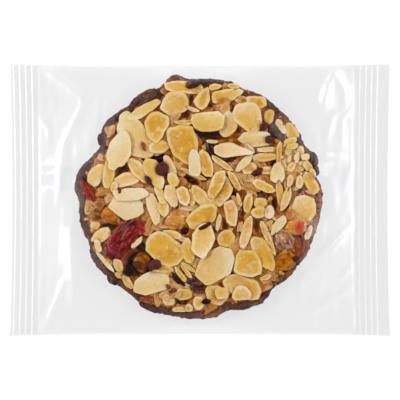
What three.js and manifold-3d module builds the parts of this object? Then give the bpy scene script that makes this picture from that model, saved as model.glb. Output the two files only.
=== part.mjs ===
// A florentine cookie in its clear flow-wrap packet, lying flat with the almond side up.
// Millimetres, +Z up. X runs from end seal to end seal and Y from side fold to side fold.
// The origin is the middle of the packet on the surface that it lies on.
// The film is drawn tight over the cookie, so the sealed packet is one closed body: a pillow of film,
// two crimped end seals, the back seam, and the flakes and fruit of the cookie standing in relief.

import * as THREE from 'three';
import { mergeVertices } from 'three/addons/utils/BufferGeometryUtils.js';
import Module from 'manifold-3d';

const wasm = await Module();
wasm.setup();

// ---- Driving dimensions ----

const PACKET_LENGTH = 140;
const PACKET_WIDTH = 100;
const WAIST = 1.0; // how far each side fold pulls in beside the cookie
const END_BOW = 0.9; // how far each cut end pulls in at its middle
const LEFT_SEAL_INNER = -60; // where the crimped seal meets the open film
const RIGHT_SEAL_INNER = 57;
const FILM_EDGE = 0.5; // thickness of the folded and sealed edges

const CORNER_HEIGHT = 2.4; // mid-plane of the edge above the table, at a corner
const SIDE_RISE = 1.6; // extra height of a side fold beside the cookie
const SEAL_RISE = 0.8; // extra height of a seal at its middle

const RIB_HEIGHT = 0.35;
const RIB_WIDTH = 1.3;
const LEFT_RIBS = [-68.2, -65.95, -63.7, -61.4];
const RIGHT_RIBS = [58.4, 60.6, 62.8, 64.9];

const SEAM_LOW_Y = 3.5; // the back seam, folded flat under the packet
const SEAM_HIGH_Y = 12.5;
const SEAM_THICKNESS = 0.4;
const GROOVE_WIDTH = 0.6;
const GROOVE_DEPTH = 0.3;

const COOKIE_X = -0.6; // middle of the cookie
const COOKIE_Y = 0.6;
const RIM_RADIUS = 44.2; // outer edge of the chocolate
const TOPPING_HEIGHT = 7.3; // film between the flakes, above the table
const RIM_TOP_HEIGHT = 6.3; // film over the chocolate rim, at its inner side
const RIM_EDGE_HEIGHT = 5.7; // film where it leaves the rim
const RIM_WIDTH = 2.6; // chocolate that shows outside the nuts
const RIM_STEP = 0.45; // how much the rim stands above the film just beyond it
const FLAT_RADIUS = 41; // the packet rests on this much of its underside
const FLAKE_THICKNESS = 0.85;
const FRUIT_STAND = 1.5; // how far a berry stands above what it lies on

// The hand-spread chocolate leaves a wavy rim: each swelling is an angle in degrees,
// how far it comes out, and its spread in degrees.
const RIM_WAVES = [
  [2, 1.2, 6],
  [20, 1.2, 5],
  [27, -0.8, 5],
  [101, 1.8, 4],
  [111, -1.2, 5],
  [130, -1.1, 6],
  [153, -3.2, 7],
  [172, 1.5, 7],
  [210, 0.8, 6],
  [233, -0.9, 5],
  [245, 0.9, 5],
  [285, -1.6, 5],
  [311, -1.3, 5],
  [350, 0.9, 8],
];

// Almond flakes, lower ones first: x, y, length, width, and the turn of the long axis in degrees.
const FLAKES = [
  [-24, 23, 17, 10, -65],
  [-20, 33, 12, 4.5, 30],
  [-15, 19, 8, 5, 10],
  [-6, 41, 15, 4.6, -3],
  [1, 36.5, 8, 5.5, 65],
  [9.5, 38, 10.5, 5.5, 12],
  [20, 36.3, 7.5, 4.2, -10],
  [33, 25, 7, 5, -55],
  [29.5, 27.5, 6, 3, -60],
  [10, 27, 9, 6.5, 75],
  [20, 22.3, 12.5, 5.5, 5],
  [2, 14, 11, 5, 105],
  [23.2, 15.5, 8, 3.5, 2],
  [28.8, 16, 10, 2, 88],
  [36, 17.5, 5, 3, 85],
  [-37.5, 9.5, 8, 6, 55],
  [-33.5, 10, 11, 4, 85],
  [-25.5, 7.5, 11, 5, 5],
  [-22, 10.5, 12, 4.5, -50],
  [-27, -3, 12, 7, -20],
  [-17, -3, 12.5, 4.5, -75],
  [-37, -13, 7, 6, -60],
  [-10, 7.5, 5, 5, 0],
  [-10.5, 1.5, 8.5, 5, -70],
  [-6, 1.5, 7.5, 4.5, -75],
  [8, 3, 12, 8, 60],
  [17.5, 11.5, 5.5, 4, 0],
  [28, 10, 6.5, 5.5, 70],
  [22.5, 5, 9, 3.5, -30],
  [17.5, -1, 7.5, 3.5, 78],
  [21.5, -4.5, 5, 4.5, 0],
  [25.3, -4.5, 5, 3.5, 80],
  [29, 1.5, 10, 2.5, 86],
  [36.5, 6.5, 5, 3, 80],
  [40.3, 6.5, 9, 4.5, -65],
  [28.5, -9.3, 8.5, 3, 55],
  [16.7, -12, 11.5, 4, 75],
  [24.5, -14, 13, 2.4, -70],
  [-34.7, -22.5, 10, 2, -50],
  [-26.5, -30, 6.5, 3, -60],
  [-18, -31, 13, 8, 20],
  [-4, -18.5, 9, 5, -80],
  [9.5, -14, 6.5, 6, 0],
  [24, -20, 11, 6.5, -70],
  [-6, -34.5, 6, 4.2, 0],
  [-0.5, -37.5, 5, 4.5, 90],
  [-11.5, -36.5, 4.5, 4, 0],
  [6.5, -34.5, 7.5, 7.5, 0],
  [15.5, -31.5, 14.5, 8, -20],
  [-9.3, 35, 10.5, 8.5, 20],
  [-16, 26, 11, 9, 80],
  [17.5, 30, 13, 10, -40],
  [-16.5, 9.5, 13, 6, -65],
  [0.5, 1, 10, 5, -50],
  [1, -6, 12, 8, 40],
  [11.5, -4.5, 9.5, 5, -80],
  [38.2, -2.8, 9.5, 9, 90],
  [5.5, -23.5, 14, 12.5, 25],
  [17.5, -23, 9.5, 9.5, 0],
  [15, -34.7, 7, 6.5, 0],
  [-29.3, 17.8, 14.5, 9, 78],
  [2.7, 29, 12, 8, 5],
  [-6, 20.5, 14, 11, -70],
  [-2.2, 14.5, 11, 4, 92],
  [10.5, 18.5, 11.5, 6, -5],
  [-25, 2, 13, 4.8, 6],
  [6, 6, 11, 5, 65],
  [1, -14.5, 12.5, 8.5, 80],
  [-13, -18, 15, 11.5, -38],
];

// Cranberries, sultanas, raisins, peel and chocolate beads, in the same columns.
const FRUIT = [
  [-40.6, 3.2, 8.5, 3.2, -62],
  [-26.5, -12.5, 11, 8.5, 45],
  [-32.5, -18.5, 6.5, 5, 45],
  [-8, -7, 7.5, 7, 0],
  [-32.7, -5.3, 5.5, 5, 0],
  [36.2, -9.7, 7, 5, 90],
  [30.5, -15.8, 7.5, 7, 0],
  [36.3, -17, 8, 7, 40],
  [30.3, -22.5, 7, 6, 0],
  [4, 19.8, 7, 5, 0],
  [-0.8, -30.3, 7.5, 6.5, 0],
  [-8, -28.5, 8, 3, -45],
  [-20.5, -24, 7, 7, 0],
  [-14, 11.3, 5.5, 4.5, 90],
  [25.3, 22, 3.4, 3.4, 0],
  [23, 26.8, 3.5, 2.8, 0],
  [21, 10.2, 4.6, 2.8, 30],
  [-16.5, -24, 4, 4, 0],
];

// Chopped almond fills the gaps between the flakes.
const CHIP_COUNT = 34;
const CHIP_SEED = 7;
const CHIP_LENGTH = [2.6, 5.2];
const CHIP_REACH = 40; // how far from the middle of the cookie a chip can lie

// Folds that the film keeps between the cookie and its edges: height, then x, y along the fold.
const FOLDS = [
  [0.8, [-58, 48, -43.5, 38.3, -43, 34]],
  [0.5, [-43, 35, -50, 20, -51.6, 0]],
  [0.4, [-59, 30, -55.3, 26, -55.6, 20]],
  [0.4, [-58, 12.9, -50.5, 12.9]],
  [0.4, [-58, 3.7, -50.5, 3.7]],
  [0.5, [-48.5, -28, -57.8, -49]],
  [1.0, [43.8, 32.4, 47, 42, 49.5, 48]],
  [0.8, [49, 47.5, 53.8, 39.8, 53.4, 34.3]],
  [0.5, [53.4, 34.3, 47.9, 29.5, 46.1, 21]],
  [0.4, [46, 18, 55, 18]],
  [0.4, [51, 4, 56, 12.9]],
  [0.7, [55.6, -8.8, 43.5, -20.3]],
  [0.4, [56, -24, 50.5, -29.8]],
  [0.7, [55, -33.2, 39, -41.6]],
];
const FOLD_WIDTH = 2.2;

// ---- Numbers that the parts share ----

const SIDES_OF_PILLOW = 96;
const SIDES_OF_LARGE = 10;
const SIDES_OF_SMALL = 8;
const LARGE_FLAKE = 9; // flakes at least this long count as large
const SIDES_OF_CHIP = 6;
const SIDES_OF_FRUIT = 8;
const FLAKE_DRAFT = 0.45; // how much wider the film makes the foot of each flake
const FLAKE_POINT = 0.22; // how much narrower the tip of a flake is than its other end
const FLAKE_SINK = 0.35; // flakes bed this far into what they lie on
const RELIEF_FLOOR = 4.6; // every piece in relief reaches down to here, inside the pillow
const MAX_SLOPE = 0.32;
const RESTING_SHARE = 0.8; // share of the cells under a flake that it lies clear of
const CELL = 1; // of the map of heights, which reaches MAP_HALF each way
const MAP_HALF = 48;
const MAP_SIDE = 2 * MAP_HALF + 1;

const point = (x, y, z) => new THREE.Vector3(x, y, z);
const radians = THREE.MathUtils.degToRad;

function seededRandom(seed) {
  let state = seed;
  return () => {
    state = (state + 0x6d2b79f5) | 0;
    let mixed = Math.imul(state ^ (state >>> 15), 1 | state);
    mixed = (mixed + Math.imul(mixed ^ (mixed >>> 7), 61 | mixed)) ^ mixed;
    return ((mixed ^ (mixed >>> 14)) >>> 0) / 4294967296;
  };
}

// ---- Meshes and solids ----

// A closed skin over rings of points, from one end point to the other.
// Each ring runs anticlockwise as seen from the end that the skin runs towards.
function loft(start, rings, end) {
  const count = rings[0].length;
  const points = [start, ...rings.flat(), end];
  const last = points.length - 1;
  const at = (ring, i) => 1 + ring * count + (i % count);
  const faces = [];
  for (let i = 0; i < count; i += 1) {
    faces.push(0, at(0, i + 1), at(0, i));
    faces.push(last, at(rings.length - 1, i), at(rings.length - 1, i + 1));
    for (let ring = 0; ring + 1 < rings.length; ring += 1) {
      faces.push(at(ring, i), at(ring, i + 1), at(ring + 1, i + 1));
      faces.push(at(ring, i), at(ring + 1, i + 1), at(ring + 1, i));
    }
  }
  const geometry = new THREE.BufferGeometry().setFromPoints(points);
  geometry.setIndex(faces);
  return geometry;
}

function solidFrom(geometry) {
  geometry.deleteAttribute('normal');
  geometry.deleteAttribute('uv');
  const merged = mergeVertices(geometry, 1e-4);
  const mesh = new wasm.Mesh({
    numProp: 3,
    vertProperties: new Float32Array(merged.attributes.position.array),
    triVerts: new Uint32Array(merged.index.array),
  });
  return new wasm.Manifold(mesh);
}

function geometryFrom(solid) {
  const { vertProperties, triVerts } = solid.getMesh();
  const geometry = new THREE.BufferGeometry();
  geometry.setAttribute('position', new THREE.BufferAttribute(vertProperties, 3));
  geometry.setIndex(new THREE.BufferAttribute(triVerts, 1));
  geometry.computeVertexNormals();
  return geometry;
}

// ---- The shape of the film ----

function rimRadius(angle) {
  const degrees = THREE.MathUtils.radToDeg(angle);
  let radius = RIM_RADIUS;
  for (const [middle, height, spread] of RIM_WAVES) {
    const apart = THREE.MathUtils.euclideanModulo(degrees - middle + 180, 360) - 180;
    radius += height * Math.exp(-((apart / spread) ** 2));
  }
  return radius;
}

function halfWidth(x) {
  const along = Math.min(1, Math.abs(x) / (PACKET_LENGTH / 2));
  return PACKET_WIDTH / 2 - WAIST * (1 - along ** 2);
}

function edgeHeight(x, y) {
  const alongX = Math.min(1, Math.abs(x) / RIGHT_SEAL_INNER);
  const alongY = Math.min(1, Math.abs(y) / (PACKET_WIDTH / 2));
  return CORNER_HEIGHT + SIDE_RISE * (1 - alongX ** 2) + SEAL_RISE * (1 - alongY ** 2);
}

// Distance from the middle of the cookie to the edge of the open film.
function edgeReach(angle) {
  const end = Math.cos(angle) > 0 ? RIGHT_SEAL_INNER + 0.5 : LEFT_SEAL_INNER - 0.5;
  const toEnd = (end - COOKIE_X) / Math.cos(angle);
  let reach = Math.abs(toEnd);
  for (let pass = 0; pass < 4; pass += 1) {
    const x = COOKIE_X + Math.min(reach, Math.abs(toEnd)) * Math.cos(angle);
    const side = Math.sign(Math.sin(angle)) * halfWidth(x);
    const toSide = Math.abs(Math.sin(angle)) > 1e-6 ? (side - COOKIE_Y) / Math.sin(angle) : Infinity;
    reach = Math.min(Math.abs(toEnd), toSide);
  }
  return reach;
}

// A long span of film hangs in a hollow curve, and a short one runs straight.
const sagPower = (span) => 1 + span / 28;

function aroundCookie(angle, radius, height) {
  return point(COOKIE_X + radius * Math.cos(angle), COOKIE_Y + radius * Math.sin(angle), height);
}

// The film over the cookie: level over the nuts, lower over the rim, then a small step off it.
function filmOverCookie(inFromRim) {
  if (inFromRim < RIM_STEP) return RIM_EDGE_HEIGHT + inFromRim;
  const foot = RIM_EDGE_HEIGHT + RIM_STEP;
  const overRim = Math.min(1, (inFromRim - RIM_STEP) / (RIM_WIDTH - RIM_STEP));
  const overNuts = THREE.MathUtils.clamp(inFromRim / RIM_WIDTH - 1, 0, 1);
  return foot + overRim * (RIM_TOP_HEIGHT - foot) + overNuts * (TOPPING_HEIGHT - RIM_TOP_HEIGHT);
}

function filmTop(angle, radius) {
  const rim = rimRadius(angle);
  if (radius <= rim) return filmOverCookie(rim - radius);
  const reach = edgeReach(angle);
  const edge = aroundCookie(angle, reach, 0);
  const low = edgeHeight(edge.x, edge.y) + FILM_EDGE / 2;
  const share = Math.min(1, (radius - rim) / (reach - rim));
  return low + (RIM_EDGE_HEIGHT - low) * (1 - share) ** sagPower(reach - rim);
}

function filmBottom(angle, radius) {
  if (radius <= FLAT_RADIUS) return 0;
  const reach = edgeReach(angle);
  const edge = aroundCookie(angle, reach, 0);
  const high = edgeHeight(edge.x, edge.y) - FILM_EDGE / 2;
  const share = Math.min(1, (radius - FLAT_RADIUS) / (reach - FLAT_RADIUS));
  return high * share ** sagPower(reach - FLAT_RADIUS);
}

function polar(x, y) {
  return [Math.atan2(y - COOKIE_Y, x - COOKIE_X), Math.hypot(x - COOKIE_X, y - COOKIE_Y)];
}

// ---- The packet ----

// Evenly spaced directions, with the nearest one to each corner turned to point at it.
function pillowAngles() {
  const step = (2 * Math.PI) / SIDES_OF_PILLOW;
  const angles = Array.from({ length: SIDES_OF_PILLOW }, (_, i) => i * step);
  for (const x of [LEFT_SEAL_INNER - 0.5, RIGHT_SEAL_INNER + 0.5]) {
    for (const y of [-halfWidth(x), halfWidth(x)]) {
      const corner = THREE.MathUtils.euclideanModulo(polar(x, y)[0], 2 * Math.PI);
      angles[Math.round(corner / step) % SIDES_OF_PILLOW] = corner;
    }
  }
  return angles;
}

function pillow() {
  const angles = pillowAngles();
  const between = (from, share) => (angle) => from(angle) + share * (edgeReach(angle) - from(angle));
  const underRing = (radius) => angles.map((a) => aroundCookie(a, radius(a), filmBottom(a, radius(a))));
  const topRing = (radius) => angles.map((a) => aroundCookie(a, radius(a), filmTop(a, radius(a))));
  const flat = () => FLAT_RADIUS;
  const rings = [
    underRing(flat),
    underRing(between(flat, 0.35)),
    underRing(between(flat, 0.7)),
    underRing(edgeReach),
    topRing(edgeReach),
    topRing(between(rimRadius, 0.7)),
    topRing(between(rimRadius, 0.4)),
    topRing(between(rimRadius, 0.18)),
    topRing(rimRadius),
    topRing((a) => rimRadius(a) - RIM_STEP),
    topRing((a) => rimRadius(a) - RIM_WIDTH),
    topRing((a) => rimRadius(a) - 2 * RIM_WIDTH),
  ];
  return loft(aroundCookie(0, 0, 0), rings, aroundCookie(0, 0, TOPPING_HEIGHT));
}

// A crimped seal: its ribs are pressed through both layers of film.
function endSeal(inner, outer, ribs) {
  const stations = [[inner, 0]];
  const order = [...ribs].sort((a, b) => (a - b) * Math.sign(outer));
  for (const x of order) {
    const half = (RIB_WIDTH / 2) * Math.sign(outer);
    stations.push([x - half, 0], [x, RIB_HEIGHT], [x + half, 0]);
  }
  stations.push([outer, 0]);
  if (outer < inner) stations.reverse();
  const lower = stations.map(([x, z]) => new THREE.Vector2(x, z - FILM_EDGE / 2));
  const upper = stations.map(([x, z]) => new THREE.Vector2(x, z + FILM_EDGE / 2)).reverse();
  const shape = new THREE.Shape([...lower, ...upper]);
  const geometry = new THREE.ExtrudeGeometry(shape, { depth: 2, steps: 6, bevelEnabled: false });
  const corners = geometry.attributes.position;
  for (let i = 0; i < corners.count; i += 1) {
    const across = corners.getZ(i) - 1;
    const alongSeal = (corners.getX(i) - inner) / (outer - inner);
    const x = corners.getX(i) - Math.sign(outer) * END_BOW * alongSeal * (1 - across ** 2);
    const y = -across * halfWidth(corners.getX(i));
    corners.setXYZ(i, x, y, corners.getY(i) + edgeHeight(x, y));
  }
  return geometry;
}

// The back seam: a flap welded along the packet and folded flat, proud of the film past the cookie.
function backSeam() {
  const first = LEFT_SEAL_INNER - 2;
  const last = RIGHT_SEAL_INNER + 2;
  const steps = 14;
  const rings = [];
  for (let i = 0; i <= steps; i += 1) {
    const x = first + ((last - first) * i) / steps;
    const under = (y) => Math.max(0, filmBottom(...polar(x, y)) - SEAM_THICKNESS);
    rings.push([
      point(x, SEAM_LOW_Y, under(SEAM_LOW_Y)),
      point(x, SEAM_HIGH_Y, under(SEAM_HIGH_Y)),
      point(x, SEAM_HIGH_Y, under(SEAM_HIGH_Y) + SEAM_THICKNESS + 0.1),
      point(x, SEAM_LOW_Y, under(SEAM_LOW_Y) + SEAM_THICKNESS + 0.1),
    ]);
  }
  const middle = (ring) => ring.reduce((sum, p) => sum.add(p), point(0, 0, 0)).divideScalar(ring.length);
  return loft(middle(rings[0]), rings, middle(rings[steps]));
}

// Under the cookie the seam is pressed level with the film, and shows by its two long edges.
function seamGroove(y) {
  const groove = new THREE.BoxGeometry(2 * FLAT_RADIUS * 0.94, GROOVE_WIDTH, 2 * GROOVE_DEPTH);
  groove.translate(COOKIE_X, y, 0);
  return groove;
}

// A fold in the film: a low tapering ridge along a bent line.
function fold(height, line) {
  const stations = [];
  for (let i = 0; i < line.length; i += 2) stations.push(new THREE.Vector2(line[i], line[i + 1]));
  const path = new THREE.SplineCurve(stations);
  const steps = stations.length * 2;
  const surface = (at, lift) => point(at.x, at.y, filmTop(...polar(at.x, at.y)) + lift);
  const rings = [];
  for (let i = 1; i < steps; i += 1) {
    const at = path.getPoint(i / steps);
    const across = path.getTangent(i / steps).rotateAround(new THREE.Vector2(), Math.PI / 2);
    const swell = Math.sin((Math.PI * i) / steps) ** 0.5;
    const foot = across.multiplyScalar((FOLD_WIDTH / 2) * swell);
    rings.push([
      surface(at.clone().sub(foot), -0.12),
      surface(at.clone().add(foot), -0.12),
      surface(at, height * swell),
    ]);
  }
  return loft(surface(path.getPoint(0), -0.1), rings, surface(path.getPoint(1), -0.1));
}

// ---- The cookie in relief ----

// The map holds the height of what has been laid so far, so that each piece lies on those below it.
const heights = new Float64Array(MAP_SIDE * MAP_SIDE);
for (let i = 0; i < heights.length; i += 1) {
  heights[i] = filmTop(...polar(Math.floor(i / MAP_SIDE) - MAP_HALF, (i % MAP_SIDE) - MAP_HALF));
}

function cellsUnder([x, y, length, width, turn]) {
  const found = [];
  const reach = Math.max(length, width) / 2;
  const cos = Math.cos(radians(turn));
  const sin = Math.sin(radians(turn));
  for (let cx = Math.ceil(x - reach); cx <= x + reach; cx += CELL) {
    for (let cy = Math.ceil(y - reach); cy <= y + reach; cy += CELL) {
      const along = ((cx - x) * cos + (cy - y) * sin) / (length / 2);
      const across = ((cy - y) * cos - (cx - x) * sin) / (width / 2);
      if (along ** 2 + across ** 2 < 1 && Math.max(Math.abs(cx), Math.abs(cy)) < MAP_HALF) {
        found.push({ dx: cx - x, dy: cy - y, cell: (cx + MAP_HALF) * MAP_SIDE + cy + MAP_HALF });
      }
    }
  }
  return found;
}

// The plane that best fits what lies below, raised until the piece is clear of most of it.
function restingPlane(piece) {
  const cells = cellsUnder(piece);
  const sum = (value) => cells.reduce((total, c) => total + value(c), 0);
  const mean = sum((c) => heights[c.cell]) / cells.length;
  const slopeAlong = (side) => {
    const slope = sum((c) => c[side] * (heights[c.cell] - mean)) / Math.max(1, sum((c) => c[side] ** 2));
    return THREE.MathUtils.clamp(slope, -MAX_SLOPE, MAX_SLOPE);
  };
  const slopeX = slopeAlong('dx');
  const slopeY = slopeAlong('dy');
  const above = cells.map((c) => heights[c.cell] - mean - slopeX * c.dx - slopeY * c.dy);
  above.sort((a, b) => a - b);
  const lift = above[Math.floor(RESTING_SHARE * (above.length - 1))];
  const base = mean + lift - FLAKE_SINK;
  return { cells, heightAt: (dx, dy) => base + slopeX * dx + slopeY * dy };
}

function layPiece(piece, thickness) {
  const { cells, heightAt } = restingPlane(piece);
  const top = (dx, dy) => heightAt(dx, dy) + thickness;
  for (const { dx, dy, cell } of cells) heights[cell] = Math.max(heights[cell], top(dx, dy));
  return top;
}

// The outline of a flake is an egg with one narrow end.
function eggOutline([x, y, length, width, turn], sides, grow, heightAt) {
  const ring = [];
  for (let i = 0; i < sides; i += 1) {
    const angle = (2 * Math.PI * i) / sides;
    const along = (length / 2 + grow) * Math.cos(angle);
    const across = (width / 2 + grow) * Math.sin(angle) * (1 - FLAKE_POINT * Math.cos(angle));
    const dx = along * Math.cos(radians(turn)) - across * Math.sin(radians(turn));
    const dy = along * Math.sin(radians(turn)) + across * Math.cos(radians(turn));
    ring.push(point(x + dx, y + dy, heightAt(dx, dy)));
  }
  return ring;
}

// A flake under tight film: a flat tilted top with sides that lean out to its foot.
function flake(piece, sides) {
  const top = layPiece(piece, FLAKE_THICKNESS);
  const floor = () => RELIEF_FLOOR;
  const rings = [eggOutline(piece, sides, FLAKE_DRAFT, floor), eggOutline(piece, sides, -0.1, top)];
  return loft(point(piece[0], piece[1], RELIEF_FLOOR), rings, point(piece[0], piece[1], top(0, 0)));
}

// A berry or bead under tight film: a low dome.
function berry(piece) {
  const stand = Math.min(FRUIT_STAND, piece[3] * 0.4);
  const top = layPiece(piece, stand);
  const under = (drop) => (dx, dy) => top(dx, dy) - drop;
  const inset = (share) => (-share * piece[3]) / 2;
  const rings = [
    eggOutline(piece, SIDES_OF_FRUIT, FLAKE_DRAFT, () => RELIEF_FLOOR),
    eggOutline(piece, SIDES_OF_FRUIT, inset(0.12), under(stand * 0.45)),
    eggOutline(piece, SIDES_OF_FRUIT, inset(0.5), under(stand * 0.1)),
  ];
  return loft(point(piece[0], piece[1], RELIEF_FLOOR), rings, point(piece[0], piece[1], top(0, 0)));
}

// Chips fall at random places, and stay where no flake has covered the caramel.
function chips() {
  const random = seededRandom(CHIP_SEED);
  const laid = [];
  for (let tries = 0; tries < 4000 && laid.length < CHIP_COUNT; tries += 1) {
    const angle = 2 * Math.PI * random();
    const radius = CHIP_REACH * Math.sqrt(random());
    const length = CHIP_LENGTH[0] + (CHIP_LENGTH[1] - CHIP_LENGTH[0]) * random();
    const middle = aroundCookie(angle, radius, 0);
    const piece = [middle.x, middle.y, length, length * (0.45 + 0.3 * random()), 360 * random()];
    const bare = cellsUnder(piece).every((c) => heights[c.cell] <= TOPPING_HEIGHT);
    if (bare) laid.push(flake(piece, SIDES_OF_CHIP));
  }
  return laid;
}

function sealedPacket() {
  const parts = [
    pillow(),
    endSeal(LEFT_SEAL_INNER, -PACKET_LENGTH / 2, LEFT_RIBS),
    endSeal(RIGHT_SEAL_INNER, PACKET_LENGTH / 2, RIGHT_RIBS),
    backSeam(),
    ...FOLDS.map(([height, line]) => fold(height, line)),
    ...FLAKES.map((piece) => flake(piece, piece[2] < LARGE_FLAKE ? SIDES_OF_SMALL : SIDES_OF_LARGE)),
    ...FRUIT.map(berry),
    ...chips(),
  ];
  const whole = parts.map(solidFrom).reduce((sum, part) => sum.add(part));
  const grooves = [SEAM_LOW_Y, SEAM_HIGH_Y].map((y) => solidFrom(seamGroove(y)));
  return grooves.reduce((sum, groove) => sum.subtract(groove), whole);
}

const film = new THREE.MeshStandardMaterial({ color: 0xc9975a, roughness: 0.25, metalness: 0 });
const packet = new THREE.Mesh(geometryFrom(sealedPacket()), film);
packet.name = 'sealed_packet';

const florentine = new THREE.Group();
florentine.add(packet);
export default florentine;
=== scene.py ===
# %% [markdown]
# # A florentine in its clear packet
# A florentine is a disc of flaked almonds and dried fruit set in caramel, with a base of dark chocolate.
# This one is sealed in a flow-wrap packet: a tube of clear film with a seam underneath and a crimped
# seal at each end. The CAD model holds the packet as one solid, and this lesson fills its place with
# the real film and the cookie inside it.

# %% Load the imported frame
import math

import bpy
import numpy as np
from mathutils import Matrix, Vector, noise


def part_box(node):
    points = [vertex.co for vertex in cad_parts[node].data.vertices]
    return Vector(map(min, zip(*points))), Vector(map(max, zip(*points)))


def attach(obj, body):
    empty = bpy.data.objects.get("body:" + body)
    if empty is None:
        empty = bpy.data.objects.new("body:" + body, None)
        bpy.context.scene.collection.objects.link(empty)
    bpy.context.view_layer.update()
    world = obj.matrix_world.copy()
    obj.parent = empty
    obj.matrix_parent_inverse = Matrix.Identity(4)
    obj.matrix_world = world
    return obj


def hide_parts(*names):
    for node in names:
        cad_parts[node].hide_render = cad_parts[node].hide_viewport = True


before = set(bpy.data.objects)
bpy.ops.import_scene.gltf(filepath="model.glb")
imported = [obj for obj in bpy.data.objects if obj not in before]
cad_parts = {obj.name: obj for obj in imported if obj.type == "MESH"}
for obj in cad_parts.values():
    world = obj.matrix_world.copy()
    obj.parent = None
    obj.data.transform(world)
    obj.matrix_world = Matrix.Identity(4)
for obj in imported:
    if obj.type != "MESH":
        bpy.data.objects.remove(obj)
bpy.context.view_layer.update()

NODE = "sealed_packet"
MM = 0.001
low_corner, high_corner = (np.array(corner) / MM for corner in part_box(NODE))
PACKET_LENGTH, PACKET_WIDTH, PACKET_HEIGHT = high_corner - low_corner
print("packet in mm:", PACKET_LENGTH, PACKET_WIDTH, PACKET_HEIGHT)

# %% [markdown]
# ## Driving sizes
# All sizes are in millimetres, in the packet's own frame: the middle of the packet is the origin, and
# it lies on z = 0. They are the sizes that the solid was made from, so each piece here fits it.

# %% Sizes of the packet and the cookie
# The packet: how far the middles of its sides and ends are drawn in, where its seals begin, how high
# its corners lie, and how much higher the middles of its sides and seals lie
WAIST = 1.0
END_BOW = 0.9
SEAL_INNER = (-60.0, 57.0)
CORNER_HEIGHT, SIDE_RISE, SEAL_RISE = 2.4, 1.6, 0.8

# The seals' wide ribs, the fine crimps between them, and the place of the back seam
RIB_HEIGHT, RIB_HALF_WIDTH = 0.24, 0.5
CRIMP_PITCH, CRIMP_DEPTH = 1.1, 0.05
RIBS = (-68.2, -65.95, -63.7, -61.4, 58.4, 60.6, 62.8, 64.9)
SEAM_Y = (3.5, 12.5)

# The cookie: its middle, the mean radius of its rim, the flat part under it, and the heights of its layers
COOKIE = np.array((-0.6, 0.6))
RIM_RADIUS = 44.2
FLAT_RADIUS = 41.0
CHOCOLATE_FLOOR = 0.5
CHOCOLATE_TOP = 4.9
BED_TOP = 5.5
HIGHEST_NUT = 8.75
HIGHEST_BEAD = 9.0

# Bulges and dents of the rim. Each row has an angle in degrees, a height and a spread.
RIM_WAVES = (
    (2, 1.2, 6), (20, 1.2, 5), (27, -0.8, 5), (101, 1.8, 4), (111, -1.2, 5), (130, -1.1, 6),
    (153, -3.2, 7), (172, 1.5, 7), (210, 0.8, 6), (233, -0.9, 5), (245, 0.9, 5), (285, -1.6, 5),
    (311, -1.3, 5), (350, 0.9, 8), (14, -0.8, 5), (68, -0.6, 4), (124, -0.7, 6), (148, -0.6, 5),
    (160, -0.5, 4), (182, -0.7, 4), (202, -1.0, 5), (226, -0.6, 4), (240, -0.5, 4), (301, 0.6, 5),
    (334, 0.4, 6), (90, -0.4, 6),
)

# The width of the bare chocolate, and where it is wider
RIM_WIDTH = 1.6
RIM_WIDENINGS = ((117, 3.4, 7), (172, 1.6, 7), (41, 3.6, 7), (215, 0.8, 9), (325, 1.0, 8), (20, 1.5, 4))

# Where caramel and crumbs have run over the rim
CRUMBED_RIM = (
    (-4, 26, 9), (40, 4, 7), (-42, 4, 6), (-60, 2, 5), (-80, 3, 8), (104, 4, 4), (68, 3, 9), (20, 4, 5),
    (220, 2, 4), (243, 3, 5),
)


def swollen(angle, plain, swellings):
    """A plain size with swellings at some angles. Each has a middle, a height and a spread."""
    size = np.full_like(angle, plain, dtype=float)
    for middle, height, spread in swellings:
        apart = (np.degrees(angle) - middle + 180) % 360 - 180
        size += height * np.exp(-((apart / spread) ** 2))
    return size


def rim_radius(angle):
    """The chocolate's outer edge."""
    return swollen(angle, RIM_RADIUS, RIM_WAVES)


def nut_radius(angle):
    """Where the nuts and caramel begin. Between it and the outer edge the chocolate shows."""
    return rim_radius(angle) - swollen(angle, RIM_WIDTH, RIM_WIDENINGS)


def half_width(x):
    """Half the packet's width. It is drawn in a little beside the cookie."""
    along = np.minimum(1, np.abs(x) / (PACKET_LENGTH / 2))
    return PACKET_WIDTH / 2 - WAIST * (1 - along**2)


def edge_height(x, y):
    """Height of the folded and sealed edges: lowest at the corners, highest beside the cookie."""
    along_x = np.minimum(1, np.abs(x) / SEAL_INNER[1])
    along_y = np.minimum(1, np.abs(y) / (PACKET_WIDTH / 2))
    return CORNER_HEIGHT + SIDE_RISE * (1 - along_x**2) + SEAL_RISE * (1 - along_y**2)


def polar(x, y):
    """The angle and the radius of a point as seen from the cookie's middle."""
    return np.arctan2(y - COOKIE[1], x - COOKIE[0]), np.hypot(x - COOKIE[0], y - COOKIE[1])


def smoothstep(value, low, high):
    """0 below low, 1 above high, and a smooth rise between them."""
    share = np.clip((value - low) / (high - low), 0, 1)
    return share * share * (3 - 2 * share)


def bumps(points, size, offset=0.0):
    """Smooth noise from -1 to 1 at each point, with features about as wide as size."""
    scaled = np.asarray(points, dtype=float) / size + offset
    return np.array([noise.noise(Vector(p)) for p in scaled])


def turned(x, y, degrees):
    """A place turned round the origin."""
    cos, sin = math.cos(math.radians(degrees)), math.sin(math.radians(degrees))
    return x * cos - y * sin, x * sin + y * cos


all_round = rim_radius(np.linspace(-math.pi, math.pi, 721))
print("rim radius runs from", all_round.min().round(1), "to", all_round.max().round(1))

# %% [markdown]
# ## From arrays to pieces
# Every piece is worked out as arrays of points and faces, then turned into one mesh. The object stays
# at the origin and the place is in the mesh, which is how the exporter wants it. Attributes ride along
# with the points, so that the materials can read how deep, how toasted or how near an edge a point is.
# Three helpers give the faces: for a form made of rings, for a grid, and for two sheets with a wall
# round them.

# %% Mesh helpers
# Everything inside the film, which will lie on it
CONTENTS = []


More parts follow.
